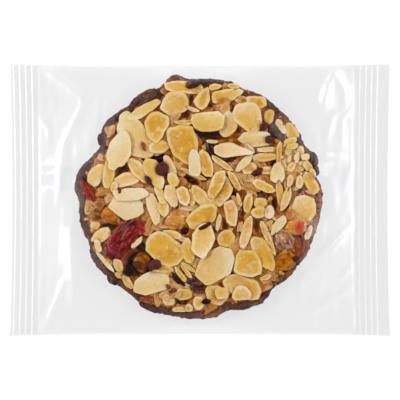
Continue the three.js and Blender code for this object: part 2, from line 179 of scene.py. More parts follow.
def declare(piece, slot):
    """Tell the frame what a piece moves with, hide the packet's solid that it stands for, and keep it among
    the contents unless it is film.
    """
    if slot != "clear_film":
        CONTENTS.append(piece)
    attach(piece, "root")
    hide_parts(NODE)
    triangles = sum(len(p.vertices) - 2 for p in piece.data.polygons)
    print(f"{piece.name}: {triangles} triangles")
    return piece


def make_piece(name, points, faces, material, attributes, slot):
    """A mesh object from points in millimetres. Every piece stands for part of the packet's solid."""
    mesh = bpy.data.meshes.new(name)
    mesh.from_pydata((np.asarray(points) * MM).tolist(), [], [list(map(int, f)) for f in faces])
    for key, values in attributes.items():
        layer = mesh.attributes.new(key, "FLOAT", "POINT")
        layer.data.foreach_set("value", np.asarray(values, dtype=np.float32))
    mesh.polygons.foreach_set("use_smooth", [True] * len(mesh.polygons))
    mesh.materials.append(material)
    mesh.validate()
    mesh.update()
    piece = bpy.data.objects.new(name, mesh)
    bpy.context.scene.collection.objects.link(piece)
    return declare(piece, slot)


def ring_faces(rings, sides):
    """Quads between rings of points, with a fan to the point before the first ring and after the last."""
    faces = []
    last = 1 + rings * sides
    for i in range(sides):
        j = (i + 1) % sides
        faces.append((0, 1 + j, 1 + i))
        for a in range(1, last - sides, sides):
            faces.append((a + i, a + j, a + sides + j, a + sides + i))
        faces.append((last, last - sides + i, last - sides + j))
    return faces


def ring_solid(profile, sides):
    """A closed round form: profile gives the radius and height of each ring at every angle."""
    angle = np.arange(sides) * 2 * math.pi / sides
    rings = [profile_ring(angle) for profile_ring in profile]
    points = [(COOKIE[0], COOKIE[1], rings[0][1].mean())]
    for radius, height in rings:
        x, y = COOKIE[0] + radius * np.cos(angle), COOKIE[1] + radius * np.sin(angle)
        points.extend(zip(x, y, height))
    points.append((COOKIE[0], COOKIE[1], rings[-1][1].mean()))
    return np.array(points), ring_faces(len(rings), sides)


def grid_faces(rows, columns):
    """Quads over a grid of points, facing up."""
    index = np.arange(rows * columns).reshape(rows, columns)
    return np.stack([index[:-1, :-1], index[1:, :-1], index[1:, 1:], index[:-1, 1:]], axis=-1).reshape(-1, 4)


def double_sheet(x, y, top, bottom):
    """A closed form: a sheet on top, one underneath, and a wall round their edges, which comes last."""
    rows, columns = x.shape
    points = [np.stack([x, y, z], axis=-1).reshape(-1, 3) for z in (top, bottom)]
    upper, below = grid_faces(rows, columns), rows * columns
    index = np.arange(rows * columns).reshape(rows, columns)
    edge = np.concatenate([index[:, 0], index[-1, 1:], index[-2::-1, -1], index[0, -2:0:-1]])
    following = np.roll(edge, -1)
    wall = np.stack([edge + below, following + below, following, edge], axis=-1)
    return np.concatenate(points), np.concatenate([upper, upper[:, ::-1] + below, wall])


# %% [markdown]
# ## Shader maths as plain expressions
# A shader graph is easier to read as arithmetic. This small class wraps an output socket, so that
# `1 - mask * 0.5` adds the Math nodes for it. Colours are mixed by a Mix node, because a Math node
# would turn them grey, and one method adds any other kind of node.

# %% Wires, graphs and recipes
class Wire:
    """An output socket that can be used in arithmetic."""

    def __init__(self, graph, socket):
        self.graph, self.socket = graph, socket

    def _math(self, operation, *values):
        return self.graph.node("ShaderNodeMath", {"operation": operation}, dict(enumerate(values)))

    def __add__(self, other):
        return self._math("ADD", self, other)

    def __radd__(self, other):
        return self._math("ADD", other, self)

    def __sub__(self, other):
        return self._math("SUBTRACT", self, other)

    def __rsub__(self, other):
        return self._math("SUBTRACT", other, self)

    def __mul__(self, other):
        return self._math("MULTIPLY", self, other)

    def __rmul__(self, other):
        return self._math("MULTIPLY", other, self)

    def __pow__(self, other):
        return self._math("POWER", self, other)

    def clamp(self, low=0.0, high=1.0):
        return self._math("MINIMUM", self._math("MAXIMUM", self, low), high)

    def step(self, low, high):
        """0 below low, 1 above high, and a smooth rise between them."""
        sockets = {"Value": self, "From Min": low, "From Max": high}
        return self.graph.node("ShaderNodeMapRange", {"interpolation_type": "SMOOTHSTEP"}, sockets)


class Graph:
    """The nodes of a material or of the sky."""

    def __init__(self, tree):
        self.nodes, self.links = tree.nodes, tree.links

    def feed(self, socket, value):
        """Link a wire to a socket, or set the socket's own value."""
        if isinstance(value, Wire):
            self.links.new(value.socket, socket)
        elif isinstance(value, tuple) and len(value) == 3 and len(socket.default_value) == 4:
            socket.default_value = (*value, 1.0)
        else:
            socket.default_value = value

    def node(self, kind, settings=None, sockets=None, output=0):
        """Add a node: its settings first, then the values or links of its sockets, by number or name."""
        node = self.nodes.new(kind)
        for key, value in (settings or {}).items():
            setattr(node, key, value)
        for key, value in (sockets or {}).items():
            self.feed(node.inputs[key], value)
        return Wire(self, node.outputs[output])

    def mix(self, factor, first, second):
        """Blend two colours. A Mix node has sockets for each kind of data, and 6 and 7 are its colours."""
        return self.node("ShaderNodeMix", {"data_type": "RGBA"}, {0: factor, 6: first, 7: second}, output=2)


class Recipe(Graph):
    """A material under construction: one Principled shader and the nodes that feed it."""

    def __init__(self, name, **values):
        self.material = bpy.data.materials.new(name)
        self.material.use_nodes = True
        super().__init__(self.material.node_tree)
        self.shader = self.nodes["Principled BSDF"]
        self.place = self.node("ShaderNodeTexCoord", output="Object")
        self.set(**values)

    def set(self, **values):
        """Set or link sockets of the Principled shader, with _ for each space in their names."""
        for key, value in values.items():
            self.feed(self.shader.inputs[key.replace("_", " ")], value)

    def noise(self, size, detail=3.0, roughness=0.55):
        """Noise whose features are about size millimetres wide."""
        sockets = {"Vector": self.place, "Scale": 1 / (size * MM), "Detail": detail, "Roughness": roughness}
        return self.node("ShaderNodeTexNoise", None, sockets)

    def attribute(self, name):
        return self.node("ShaderNodeAttribute", {"attribute_name": name}, output="Fac")

    def bump(self, height, strength, depth):
        """A normal that makes a height from 0 to 1 look as if it were depth millimetres deep."""
        sockets = {"Strength": strength, "Distance": depth * MM, "Height": height}
        return self.node("ShaderNodeBump", None, sockets)


def rgb(red, green, blue):
    """A colour as a paint chart gives it, 0 to 255, turned into Blender's linear values."""
    def linear(value):
        value /= 255
        return value / 12.92 if value <= 0.04045 else ((value + 0.055) / 1.055) ** 2.4
    return tuple(linear(value) for value in (red, green, blue))


print("mid grey in linear values:", [round(v, 3) for v in rgb(128, 128, 128)])

# %% [markdown]
# ## Camera, lights and floor
# A packet like this is looked at from straight above, so the camera hangs over its middle with a long
# lens. Clear film is only seen by what it mirrors: soft boxes at the sides and at the far end, low
# enough to catch the slopes of the film, and a sky that is dimmer straight above, which leaves the flat
# film almost bare. The floor is pale and glows a little, so that no shadow on it is deep.

# %% Camera
# The packet takes up this share of the view's width
PACKET_SHARE = 0.95
LENS, SENSOR = 160.0, 36.0
camera_data = bpy.data.cameras.new("camera")
camera_data.lens = LENS
camera_data.sensor_width = SENSOR
camera = bpy.data.objects.new("camera", camera_data)
camera.location = (0, 0, PACKET_LENGTH / PACKET_SHARE * MM * LENS / SENSOR)
bpy.context.scene.collection.objects.link(camera)
bpy.context.scene.camera = camera
print("camera height in m:", round(camera.location.z, 3))

# %% Soft boxes
scene = bpy.context.scene
scene.view_settings.view_transform = "Standard"
scene.view_settings.look = "None"
scene.cycles.transparent_max_bounces = 24
scene.cycles.max_bounces = 8
LAMP_DISTANCE = 0.62


def soft_box(name, azimuth, elevation, width, height, radiance):
    """A rectangular lamp that faces the packet. Its power follows from the radiance that it shows."""
    lamp = bpy.data.lights.new(name, "AREA")
    lamp.shape = "RECTANGLE"
    lamp.size, lamp.size_y = width, height
    lamp.energy = radiance * math.pi * width * height
    box = bpy.data.objects.new(name, lamp)
    turn, rise = math.radians(azimuth), math.radians(elevation)
    ray = Vector((math.cos(rise) * math.cos(turn), math.cos(rise) * math.sin(turn), math.sin(rise)))
    box.location = ray * LAMP_DISTANCE
    box.rotation_euler = ray.to_track_quat("Z", "Y").to_euler()
    scene.collection.objects.link(box)


# Azimuth and elevation in degrees, width and height in metres, and radiance
soft_box("left_high_box", 180, 57, 0.6, 0.22, 0.8)
soft_box("left_key_box", 160, 34, 0.7, 0.42, 3.05)
soft_box("right_high_box", 0, 57, 0.6, 0.22, 0.55)
soft_box("right_key_box", 15, 34, 0.7, 0.42, 2.2)
soft_box("far_box", 95, 36, 0.45, 0.2, 0.4)

# %% Sky and floor
# How far up a ray points where the sky starts and stops to fade, and how bright it is there
SKY_FADES = ((0.05, 0.85, 0.97, 0.42), (0.72, 0.92, 1.0, 0.06))
sky = bpy.data.worlds.new("studio")
sky.use_nodes = True
scene.world = sky
graph = Graph(sky.node_tree)
ray = graph.node("ShaderNodeTexCoord", output="Generated")
rise = graph.node("ShaderNodeSeparateXYZ", None, {0: ray}, output="Z")
fades = [
    graph.node("ShaderNodeMapRange", None,
               {"Value": rise, "From Min": low, "From Max": high, "To Min": at_low, "To Max": at_high})
    for low, high, at_low, at_high in SKY_FADES
]
graph.feed(graph.nodes["Background"].inputs["Color"], fades[0] * fades[1])

FLOOR_SIZE, FLOOR_DROP = 6, 0.0002
paper = Recipe("pale_floor", Base_Color=(0.25, 0.25, 0.25), Roughness=1.0, Specular_IOR_Level=0.0)
paper.set(Emission_Color=(1.0, 1.0, 1.0), Emission_Strength=0.8)
bpy.ops.mesh.primitive_plane_add(size=FLOOR_SIZE)
floor = bpy.context.object
floor.name = "floor"
floor.location.z = -FLOOR_DROP
floor.data.materials.append(paper.material)

# %% [markdown]
# ## Where everything lies
# The flakes of a florentine fall as they please, so the large ones are placed one by one and the rest
# by chance with a fixed seed. Each row gives the middle of a flake, its length and width, the turn of
# its long axis in degrees, how amber it is, how square its outline is (2 is an oval), and how much it
# narrows to one end. Where sides are broken off, a turn and a distance for each come last.
# Rows run from the lowest flakes to the ones on top.

# %% Almond flakes, lowest first
FLAKES = (
    (-24, 23, 17.5, 11, -63, 0.1, 2.2, 0), (-19.8, 33.2, 13, 4.4, 31, 0.2, 2.4, 0.45),
    (-15, 19.3, 8, 5, 10, 0.5, 2.4, 0), (-32, 25.5, 4, 2.6, 80, 1.7, 2, 0),
    (-6, 41.2, 15, 4.8, -3, 0.5, 2.4, 0), (1, 37, 8, 6, 65, 0.5, 2.2, 0.5),
    (5.5, 41.3, 4.5, 2.5, 10, 1, 2, 0), (9.8, 38.2, 11.5, 5, 14, 0.25, 2.4, 0.3),
    (12.3, 41.6, 4.6, 2, -10, 0.9, 2, 0), (20.6, 36, 8, 4.4, -12, 0.8, 2.2, -0.35),
    (25.2, 30.3, 5.5, 3.6, 80, 1.2, 2.6, 0), (33.4, 24.9, 6.4, 4.6, -52, 0.5, 2.2, 0),
    (33, 21.3, 5, 3, 20, 0.8, 2, 0), (29.5, 27, 6, 3, -60, 0.05, 2, 0.2),
    (10.4, 27.5, 8.8, 7.2, 75, 0.15, 2.1, 0.1), (20.3, 22.2, 13, 5.6, 0, 0.1, 2.2, 0),
    (2, 13.4, 10.6, 5, 106, 0.85, 2.2, 0), (23.9, 15.6, 8.8, 3.5, 3, 0.15, 3, 0.5),
    (25, 18.4, 8.5, 1.9, 2, 0.1, 3, 0), (28.8, 16, 10, 1.9, 88, 0.7, 3, 0),
    (36.5, 17.5, 5, 3, 80, 0.15, 2.2, 0), (32.3, 17.5, 3, 2.6, 0, 0.2, 2.5, 0),
    (37.5, 13.3, 3.4, 2, 0, 0.3, 2.5, 0), (33.3, 12, 4.4, 2.8, 50, 0.4, 2.4, 0),
    (33.8, 19.6, 4.6, 2.2, 12, 0.8, 2.4, 0), (38.4, 15.7, 3.2, 2.6, 15, 0.1, 2.6, 0),
    (30.7, 12.8, 4.4, 1.7, -80, 0.5, 2.6, 0), (39.3, 12.4, 4.4, 3, -50, 0.2, 2.4, 0),
    (41.2, 9.9, 3.6, 2.2, -60, 0.3, 2.4, 0), (35.2, 15.4, 4, 1.9, 80, 0.05, 2.8, 0),
    (35.4, 4.6, 3.2, 1.7, 60, 0.6, 2.2, 0), (32.6, 15.1, 3.2, 1.5, 75, 0.2, 2.6, 0),
    (36.4, 11.2, 3.2, 1.8, 20, 0.5, 2.4, 0), (-37.8, 9.2, 9, 6.6, 58, 0.15, 2.6, 0.5),
    (-33.3, 9.8, 11, 4.2, 85, 0.4, 2.3, 0), (-26.7, 7.4, 9.5, 5, 8, 0.3, 2.2, 0),
    (-22.3, 10.7, 11.5, 5.2, -47, 0.5, 2.2, 0.2), (-31.3, 4.8, 4, 3, 80, 0.3, 2, 0),
    (-27, -3, 13, 9.6, -15, 0, 2.8, 0, (240, 0.68), (310, 0.75)),
    (-17, -3, 12.5, 4.8, -75, 0.1, 2.2, 0.4), (-13.3, -3.2, 6, 4, -70, 0.35, 2.2, 0),
    (-14.3, 2, 7.5, 3.4, -62, 0.25, 2.2, 0), (-3.2, 1, 6.5, 3, -80, 1, 2.2, 0),
    (-6.3, -14.2, 4.6, 2, -20, 0, 2.2, 0), (-10, -12.5, 7, 3, -15, 0.5, 2.2, 0),
    (-36, -13, 8, 4.6, 35, 0.2, 2.2, 0), (-37.2, -16.8, 5, 2.4, -70, 0.1, 2.2, 0),
    (-38.3, -9.3, 3.5, 3, 0, 0.3, 2.4, 0), (-11, 12.5, 9, 3.2, -62, 0.1, 2, 0),
    (-9.8, 7.5, 5.5, 4, -60, 0.35, 2.2, 0), (-10.5, 1.5, 8.5, 5, -70, 0.25, 2.2, 0.2),
    (-6, 1.5, 7.5, 5, -75, 0.5, 2.2, 0.2), (7.7, 2.8, 11.5, 7.2, 62, 0.85, 2.2, -0.2),
    (12.6, 7, 8.5, 2.6, -58, 0.6, 2, 0), (18, 11.5, 5.5, 4, 20, 0.9, 2.2, 0),
    (24.5, 10.7, 5, 3, 0, 0.8, 2.2, 0), (28.3, 10, 7.8, 6, 88, 0.05, 2.3, 0.6),
    (23.2, 5, 9, 3.7, -25, 0.5, 2.2, 0.15), (17.5, -1, 7.5, 3.8, 78, 0.6, 2.2, 0.3),
    (14.2, 0, 5.3, 1.4, -75, 0.2, 2, 0), (22, -1, 4.6, 4.2, 0, 0.6, 2.2, 0),
    (21.5, -4.5, 5.2, 4.6, 0, 0.7, 2.2, 0), (25.3, -4.5, 5, 3.6, 80, 0, 2.2, 0),
    (29.2, 2, 10, 2.6, 96, 0.4, 2.4, 0), (31.3, 0.5, 9, 3.2, 72, 0.15, 2.2, 0),
    (32.8, 7, 4.6, 2.6, 85, 0.2, 2.2, 0), (36.3, 6.5, 5, 3, 80, 0.3, 2.1, 0),
    (40.4, 6.4, 9, 4.5, -62, 0.6, 2.2, 0), (39.6, -12, 5.6, 2.6, 70, 0, 2.2, 0),
    (28.5, -9.3, 8.5, 3.2, 52, 0.05, 2.2, 0), (16.8, -12, 11.5, 4, 76, 0.2, 2.1, 0),
    (24.8, -14, 13, 2.4, -68, 0.4, 2.6, 0), (-34.7, -22.5, 10, 1.7, -50, 0, 2.4, 0),
    (-29.8, -24, 5.5, 3.4, -65, 0.5, 2.2, 0), (-26.5, -30, 6.5, 3, -55, 0.35, 2.2, 0),
    (-23, -15.5, 5.4, 2, 42, 0, 2.4, 0), (-18, -30.5, 13.5, 8, 20, 0.05, 2.5, 0),
    (-4.3, -18.6, 9, 5, -80, 0.3, 2.5, 0), (-7, -27.3, 6.8, 2, -50, 0.6, 2.3, 0),
    (-5, -26, 6.2, 1.5, -50, 0.5, 2.3, 0), (-3.9, -24.7, 6, 1.7, -35, 0.5, 2.3, 0),
    (9.5, -14, 6.6, 6, 0, 0.8, 2.1, 0), (22.8, -19, 14, 6.2, -60, 0.4, 2.2, 0),
    (-6, -34.5, 6, 4.3, 0, 0.5, 2.6, 0), (-0.5, -37.5, 5, 4.6, 90, 0.35, 2.3, 0.3),
    (-11.5, -36.5, 4.6, 4.2, 0, 0.5, 2.2, 0), (-7.5, -40, 5.5, 2, 0, 0.4, 2.3, 0),
    (-4, -39.5, 3, 3, 0, 0.6, 2.2, 0), (24, -28.3, 4, 2, 20, 0.4, 2.2, 0),
    (6, -34.8, 8, 7.5, 0, 0.35, 2.4, 0), (15.8, -31.8, 15, 8.4, -22, 0.5, 2.2, 0),
    (-9.3, 35, 10.5, 8.7, 20, 0.5, 2.1, 0), (-16, 26.3, 11, 9.3, 80, 0.85, 2.3, -0.45),
    (-6, 28.3, 6.5, 2, 0, 0.8, 2.4, 0), (-2.5, 33, 5, 1.6, -20, 0.2, 2.4, 0),
    (17.8, 30, 12.2, 9.6, -48, 0.4, 2.4, 0), (18, 18.8, 5, 2.3, -35, 0, 2.3, 0.4),
    (-16.7, 9.7, 12.5, 6, -63, 0.25, 2.2, 0.2), (-2.2, 9.4, 10, 1.8, -24, 0.4, 2.3, 0),
    (0.5, 1, 10, 5, -50, 0.25, 2.1, 0.1), (8.2, 13.3, 9.5, 2.2, -34, 0.6, 2.3, 0),
    (16, 13.4, 8.5, 2.8, 46, 0.1, 2.1, 0), (1, -6, 12, 8, 40, 1.1, 2.1, 0),
    (6.8, -8, 6.5, 1.9, 80, 0.1, 2.2, 0), (11.4, -4.6, 9.8, 5, -80, 0.35, 2.4, 0),
    (38.2, -2.8, 9.5, 9.2, 90, 0.35, 2.3, 0), (5.8, -23.8, 14.5, 12, 32, 0.12, 2.5, 0),
    (17.7, -23.2, 9.8, 9.6, 0, 0.65, 3.4, 0), (15.2, -34.3, 7.2, 6, 5, 0.2, 2.2, 0, (270, 0.7)),
    (8, -34, 5.2, 4.6, 0, 0.15, 2.2, 0), (-29.4, 17.9, 14.5, 9.2, 72, 0.05, 2.2, -0.35),
    (3, 28.7, 12.2, 8, 4, 0.25, 3, -0.3), (-6, 20.5, 14.2, 11.2, -72, 0.95, 2.5, 0.25),
    (-2, 13.6, 10.5, 4.6, 92, 0, 2.6, 0), (12.3, 18, 13.8, 6.3, -7, 0.02, 2.2, 0.75),
    (4.4, 21.3, 4.6, 1.4, -5, 0.3, 2.3, 0), (-25, 2, 13, 5, 5, -0.05, 2.6, 0),
    (6.1, 5.9, 11.3, 5, 66, 0.55, 2.2, 0.25), (1, -14.6, 12.3, 8.4, 80, 0.35, 2.3, 0),
    (-12.9, -18, 15, 10.8, -38, 0.75, 2.3, 0.1),
)
print("flakes placed by hand:", len(FLAKES))

# %% [markdown]
# Hollows stay open between some flakes, where caramel or chocolate shows. No almond falls there. Each
# row is a place, the length, width and turn of the hollow, and how dark it is: dark caramel, with painted
# shade. At the right, the almond is chopped finely in one patch.

# %% Hollows between the flakes, and the chopped patch
HOLLOWS = (
    (13.6, 25.4, 3.6, 3.4, 0, 0.35), (27.3, -1.5, 2.2, 5, 0, 0.8), (-33.4, -9.8, 9, 2.4, 0, 1),
    (-21, -17.8, 6, 4.4, -45, 1), (12.3, 2.3, 3, 2.4, 0, 0.8), (36.2, 3.7, 3, 2.6, 0, 0.8),
    (-6.5, -37.3, 6, 2.2, 0, 1), (-5.5, -11.4, 3.4, 2.4, 30, 0.8), (-3.1, 7.1, 7, 2.4, -28, 0.9),
    (-22, -23, 13, 11, 0, 1), (20.8, -9.8, 7, 2.6, -73, 0.3), (4, 24, 11, 3, -8, 1),
    (4, 19.4, 6.5, 5, -60, 1), (9, 15.6, 9, 3, -22, 0.9), (-28.5, 10.8, 6.5, 4.5, 30, 0.45),
    (-5.5, 31.5, 4.5, 4, 0, 0.4), (-3.3, 36.5, 2.4, 5, 0, 0.4), (-15, 14.6, 5, 4, 0, 1),
    (26.6, 25.4, 8, 4.4, -45, 1), (23, 1.7, 3.6, 2, -20, 0.9), (3.6, 34.6, 2.8, 1.8, 0, 0.5),
    (12.3, 33.5, 2.4, 2.4, 0, 0.6), (-37, -6.6, 5, 2.4, 0, 0.5), (26.8, 13.4, 1.8, 3.4, -30, 0.8),
    (30.5, 21.5, 2.5, 2, 0, 0.6), (2, -9.6, 5, 1.5, 30, 0.8), (2.7, 8.7, 3.4, 1.8, 10, 0.7),
    (9.3, -9.8, 2.4, 2.6, 60, 0.3), (15.8, -4.8, 1.8, 3.6, 0, 0.3), (-36, -1.6, 4, 3, 0, 0.4),
)
CHOPPED_X, CHOPPED_Y, CHOPPED_RADIUS = 35.5, 14.5, 9


def chopped_share(x, y):
    """1 within the patch of chopped almond, and 0 outside it."""
    away = np.hypot(x - CHOPPED_X, y - CHOPPED_Y)
    return 1 - smoothstep(away, CHOPPED_RADIUS - 2.5, CHOPPED_RADIUS + 1)


def tapered(along, tip):
    """The share of its full width that an oval keeps, as it narrows towards the tip."""
    return 1 - abs(tip) * (np.clip(1 + np.sign(tip) * along, 0, 2) / 2) ** 1.5


def inside(x, y, row_x, row_y, length, width, turn, square=2.0, tip=0.0):
    """How far out in an oval a point is: 0 in the middle, 1 on its edge."""
    along, across = turned(x - row_x, y - row_y, -turn)
    along = along / (length / 2)
    across = across / (width / 2) / tapered(along, tip)
    return (np.abs(along) ** square + np.abs(across) ** square) ** (1 / square)


def hollow_depth(x, y):
    """How far open the hollows are at a point, and how dark they are."""
    depth, dark = np.zeros_like(x), np.zeros_like(x)
    for *row, darkness in HOLLOWS:
        here = 1 - smoothstep(inside(x, y, *row), 0.5, 1.2)
        depth = np.maximum(depth, here)
        dark = np.maximum(dark, here * darkness)
    return depth, dark


print("hollows kept open:", len(HOLLOWS))

# %% [markdown]
# ## The chocolate base
# The base is poured, and a comb drawn through it while it is soft leaves waves underneath. It shows on
# top as a wavy rim with a soft shoulder. A closed form of rings suits it: each ring has its own radius
# and height at every angle, so the lumps of the rim and the combed waves are only sums of sines and
# noise. Its colour is mixed in layers: dark and warm chocolate, caramel that has run over the rim, and
# the pale bloom that forms where chocolate has been warm once.

# %% Chocolate material
def chocolate_material(name, bloom):
    recipe = Recipe(name, Specular_IOR_Level=0.2)
    patches = recipe.noise(6.0, 4).step(0.42, 0.68)
    dust = recipe.noise(0.8, 5, 0.7).step(0.42, 0.64)
    dark = recipe.mix(recipe.noise(1.6, 4).step(0.38, 0.62), rgb(46, 15, 7), rgb(88, 41, 27))
    warm = recipe.mix(recipe.noise(11.0).step(0.5, 0.66), dark, rgb(118, 62, 35))
    run_over = (recipe.attribute("run_over") * recipe.noise(1.3, 4).step(0.35, 0.6)).clamp()
    stained = recipe.mix(run_over, warm, rgb(172, 96, 38))
    recipe.set(Base_Color=recipe.mix((patches * dust * bloom).clamp(), stained, rgb(158, 110, 86)))
    recipe.set(Roughness=0.35 + 0.3 * patches)
    recipe.set(Normal=recipe.bump(recipe.noise(1.1, 5, 0.7), 0.9, 0.5))
    return recipe.material


# %% Chocolate base
# The waves of the comb: their pitch, their depth, and how far they sway from straight
WAVE_PITCH, WAVE_DEPTH, WAVE_SWAY = 6.5, 0.35, 1.6
RING_STEP = 0.9

# From this swelling of CRUMBED_RIM on, caramel covers the rim fully
FULLY_CRUMBED = 6

# From the underside over the shoulder: inset, height, lumpiness, and inset as a share of the rim's width
RIM_RINGS = (
    (2.0, 0.62, 0.2), (0.9, 1.0, 0.5), (0.3, 1.8, 0.8), (0.0, 2.8, 1.0), (0.1, 3.6, 1.0), (0.4, 4.3, 1.0),
    (0.8, 4.75, 1.1), (0.7, CHOCOLATE_TOP, 1.2, 0.3), (0.7, 4.95, 1.2, 0.6), (0.6, 4.85, 1.2, 0.9),
    (0.6, 4.6, 1.0, 1.2), (1.5, 4.3, 0.6, 1.5), (5.0, 4.0, 0.0, 1.5),
)


def combed(radius, angle):
    """Height of the underside: waves drawn across the base, fading before its edge."""
    x, y = radius * np.cos(angle), radius * np.sin(angle)
    wave = np.cos(2 * math.pi * (y + WAVE_SWAY * np.sin(x / 5)) / WAVE_PITCH)
    return CHOCOLATE_FLOOR + WAVE_DEPTH * (1 - wave) / 2 * smoothstep(RIM_RADIUS - 2 - radius, 0, 4)


def base_ring(size):
    """A ring of the underside, on the combed waves."""
    def ring(angle):
        radius = np.full_like(angle, size)
        return radius, combed(radius, angle)
    return ring


def rim_ring(inset, height, lump, widths=0.0):
    """A ring inside the outer edge, by a fixed inset and by a share of the rim's own width."""
    def ring(angle):
        points = np.stack([np.cos(angle) * 9, np.sin(angle) * 9, np.full_like(angle, height)], axis=1)
        coarse, fine, grains = bumps(points, 1.1, 3.1), bumps(points, 0.4, 7.7), bumps(points, 0.2, 1.9)
        width = rim_radius(angle) - nut_radius(angle)
        lumps = lump * (0.35 * coarse + 0.42 * fine + 0.4 * grains)
        radius = rim_radius(angle) - inset - widths * width + lumps
        return radius, height + lump * (0.25 * bumps(points, 0.8, 11.3) + 0.4 * fine + 0.4 * grains)
    return ring


profile = [base_ring(size) for size in np.arange(1.0, FLAT_RADIUS + 0.5, RING_STEP)]
profile += [rim_ring(*row) for row in RIM_RINGS]
points, faces = ring_solid(profile, sides=540)
angle = polar(points[:, 0], points[:, 1])[0]
crumbed = np.clip(swollen(angle, 0.0, CRUMBED_RIM) / FULLY_CRUMBED, 0, 1)
attributes = {"run_over": crumbed * smoothstep(points[:, 2], 2.0, 4.0)}
chocolate = chocolate_material("dark_chocolate", 0.75)
make_piece("chocolate_base", points, faces, chocolate, attributes, "dark_chocolate")

# %% [markdown]
# ## The caramel bed
# Caramel runs between the nuts and sets glossy. It is amber where it is thick with light behind it and
# dark brown where it meets the chocolate, so its colour follows how deep it lies. In the hollows and in
# the gap beside the rim that dark brown is partly painted shade. The bed is closed, lumpy, and sinks into
# each hollow. Under the chopped patch it lies higher and is paler, because almond crumbs fill it there.

# %% Caramel material
def caramel_material():
    recipe = Recipe("caramel", Roughness=0.22, Coat_Roughness=0.08, Specular_IOR_Level=0.2)
    depth = recipe.attribute("depth")
    blotch = recipe.noise(2.6, 4)
    golden = recipe.mix(blotch.step(0.4, 0.62), rgb(164, 82, 2), rgb(214, 136, 20))
    crumbs = (recipe.attribute("nutty") * (0.35 + 0.65 * blotch)).clamp()
    golden = recipe.mix(crumbs, golden, rgb(240, 188, 96))
    # Browner and then dark brown where depth is high: dark caramel, with painted shade in the hollows and
    # beside the rim
    glassy = recipe.mix(depth.step(0.1, 0.45), golden, rgb(136, 60, 4))
    recipe.set(Base_Color=recipe.mix(depth.step(0.5, 0.95), glassy, rgb(44, 14, 9)))
    recipe.set(Coat_Weight=(0.4 - 0.4 * depth).clamp())
    recipe.set(Normal=recipe.bump(recipe.noise(1.1, 4), 0.6, 0.3))
    return recipe.material


# %% Caramel bed
# The height of its edge, how much higher it lies under the chopped patch, and how much lower in a hollow
# and again where the hollow is dark
BED_EDGE, CHOPPED_RISE = 4.3, 1.1
HOLLOW_SINK, DARK_SINK = 0.5, 1.2


def bed_height(x, y):
    """The top of the caramel: lumpy, lower at the rim and in the hollows."""
    angle, radius = polar(x, y)
    flat = np.stack([x, y, np.zeros_like(x)], axis=-1).reshape(-1, 3)
    lumps = (0.45 * bumps(flat, 4.0, 2.2) + 0.25 * bumps(flat, 1.6, 5.5)).reshape(x.shape)
    edge = smoothstep(nut_radius(angle) - radius, -0.4, 4.0)
    depth, dark = hollow_depth(x, y)
    middle = BED_TOP + CHOPPED_RISE * chopped_share(x, y)
    return BED_EDGE + (middle - BED_EDGE) * edge + lumps * edge - HOLLOW_SINK * depth - DARK_SINK * dark


def bed_ring(share):
    """A ring on the top of the bed, at a share of the way to its edge."""
    def ring(angle):
        wander = bumps(np.stack([angle * 9, 0 * angle, 0 * angle], axis=1), 1.0)
        radius = share * nut_radius(angle) + 0.35 * wander
        return radius, bed_height(COOKIE[0] + radius * np.cos(angle), COOKIE[1] + radius * np.sin(angle))
    return ring


profile = [
    lambda angle: (np.full_like(angle, 5.0), np.full_like(angle, 3.0)),
    lambda angle: (nut_radius(angle) - 0.6, np.full_like(angle, 3.2)),
    *(bed_ring(share) for share in np.linspace(1.0, 0.03, 68)),
]
points, faces = ring_solid(profile, sides=220)
angle, radius = polar(points[:, 0], points[:, 1])
# Beside the rim the caramel is dark: caramel over chocolate, and painted shade in the gap at the rim
near_rim = 1 - smoothstep(nut_radius(angle) - radius, 0.3, 2.6)
attributes = {
    "depth": np.maximum(hollow_depth(points[:, 0], points[:, 1])[1], near_rim),
    "nutty": chopped_share(points[:, 0], points[:, 1]),
}
make_piece("caramel_bed", points, faces, caramel_material(), attributes, "caramel")

# %% [markdown]
# ## Laying pieces on what is below them
# Nuts don't float, and they don't cut through each other. A map of heights holds the top of all that
# has been laid. A new piece takes the plane that fits the map under it, rises until it is clear of
# nearly all of it, and is then added to the map. A ceiling keeps it inside the packet.

# %% The map of heights
# The side of a cell, half the map's width, and the height that counts outside the cookie
CELL = 0.4
MAP_HALF = 48.0
OUTSIDE_HEIGHT = 3.4
axis = np.arange(-MAP_HALF, MAP_HALF + CELL / 2, CELL)
MAP_X, MAP_Y = np.meshgrid(axis, axis, indexing="ij")
map_angle, map_radius = polar(MAP_X, MAP_Y)
on_bed = map_radius < nut_radius(map_angle) - 0.2
on_rim = ~on_bed & (map_radius < rim_radius(map_angle) - 0.5)
heights = np.full_like(MAP_X, OUTSIDE_HEIGHT)
heights[on_bed] = bed_height(MAP_X[on_bed], MAP_Y[on_bed])
heights[on_rim] = CHOCOLATE_TOP
hollow_map = hollow_depth(MAP_X, MAP_Y)[0]
placed_map = np.zeros_like(MAP_X)
draw = np.random.default_rng(11)


def map_value(field, x, y):
    """The value of a map at each place."""
    i = np.clip(np.round((x + MAP_HALF) / CELL).astype(int), 0, field.shape[0] - 1)
    j = np.clip(np.round((y + MAP_HALF) / CELL).astype(int), 0, field.shape[1] - 1)
    return field[i, j]


def widened(field, cells):
    """The highest value within so many cells of each cell."""
    for _ in range(cells):
        padded = np.pad(field, 1, mode="edge")
        field = np.max([padded[i:i + field.shape[0], j:j + field.shape[1]]
                        for i in range(3) for j in range(3)], axis=0)
    return field


# %% Resting on the map
# The steepest slope of a piece, how much flatter it lies if it is too high otherwise, the share of the
# map under it that it clears, and how deep it sinks in
STEEPEST = 0.42
FLATTER = 0.4
CLEARED = 0.92
SINK = 0.15

# How much lower the ceiling is over the rim
RIM_DROP = 1.2


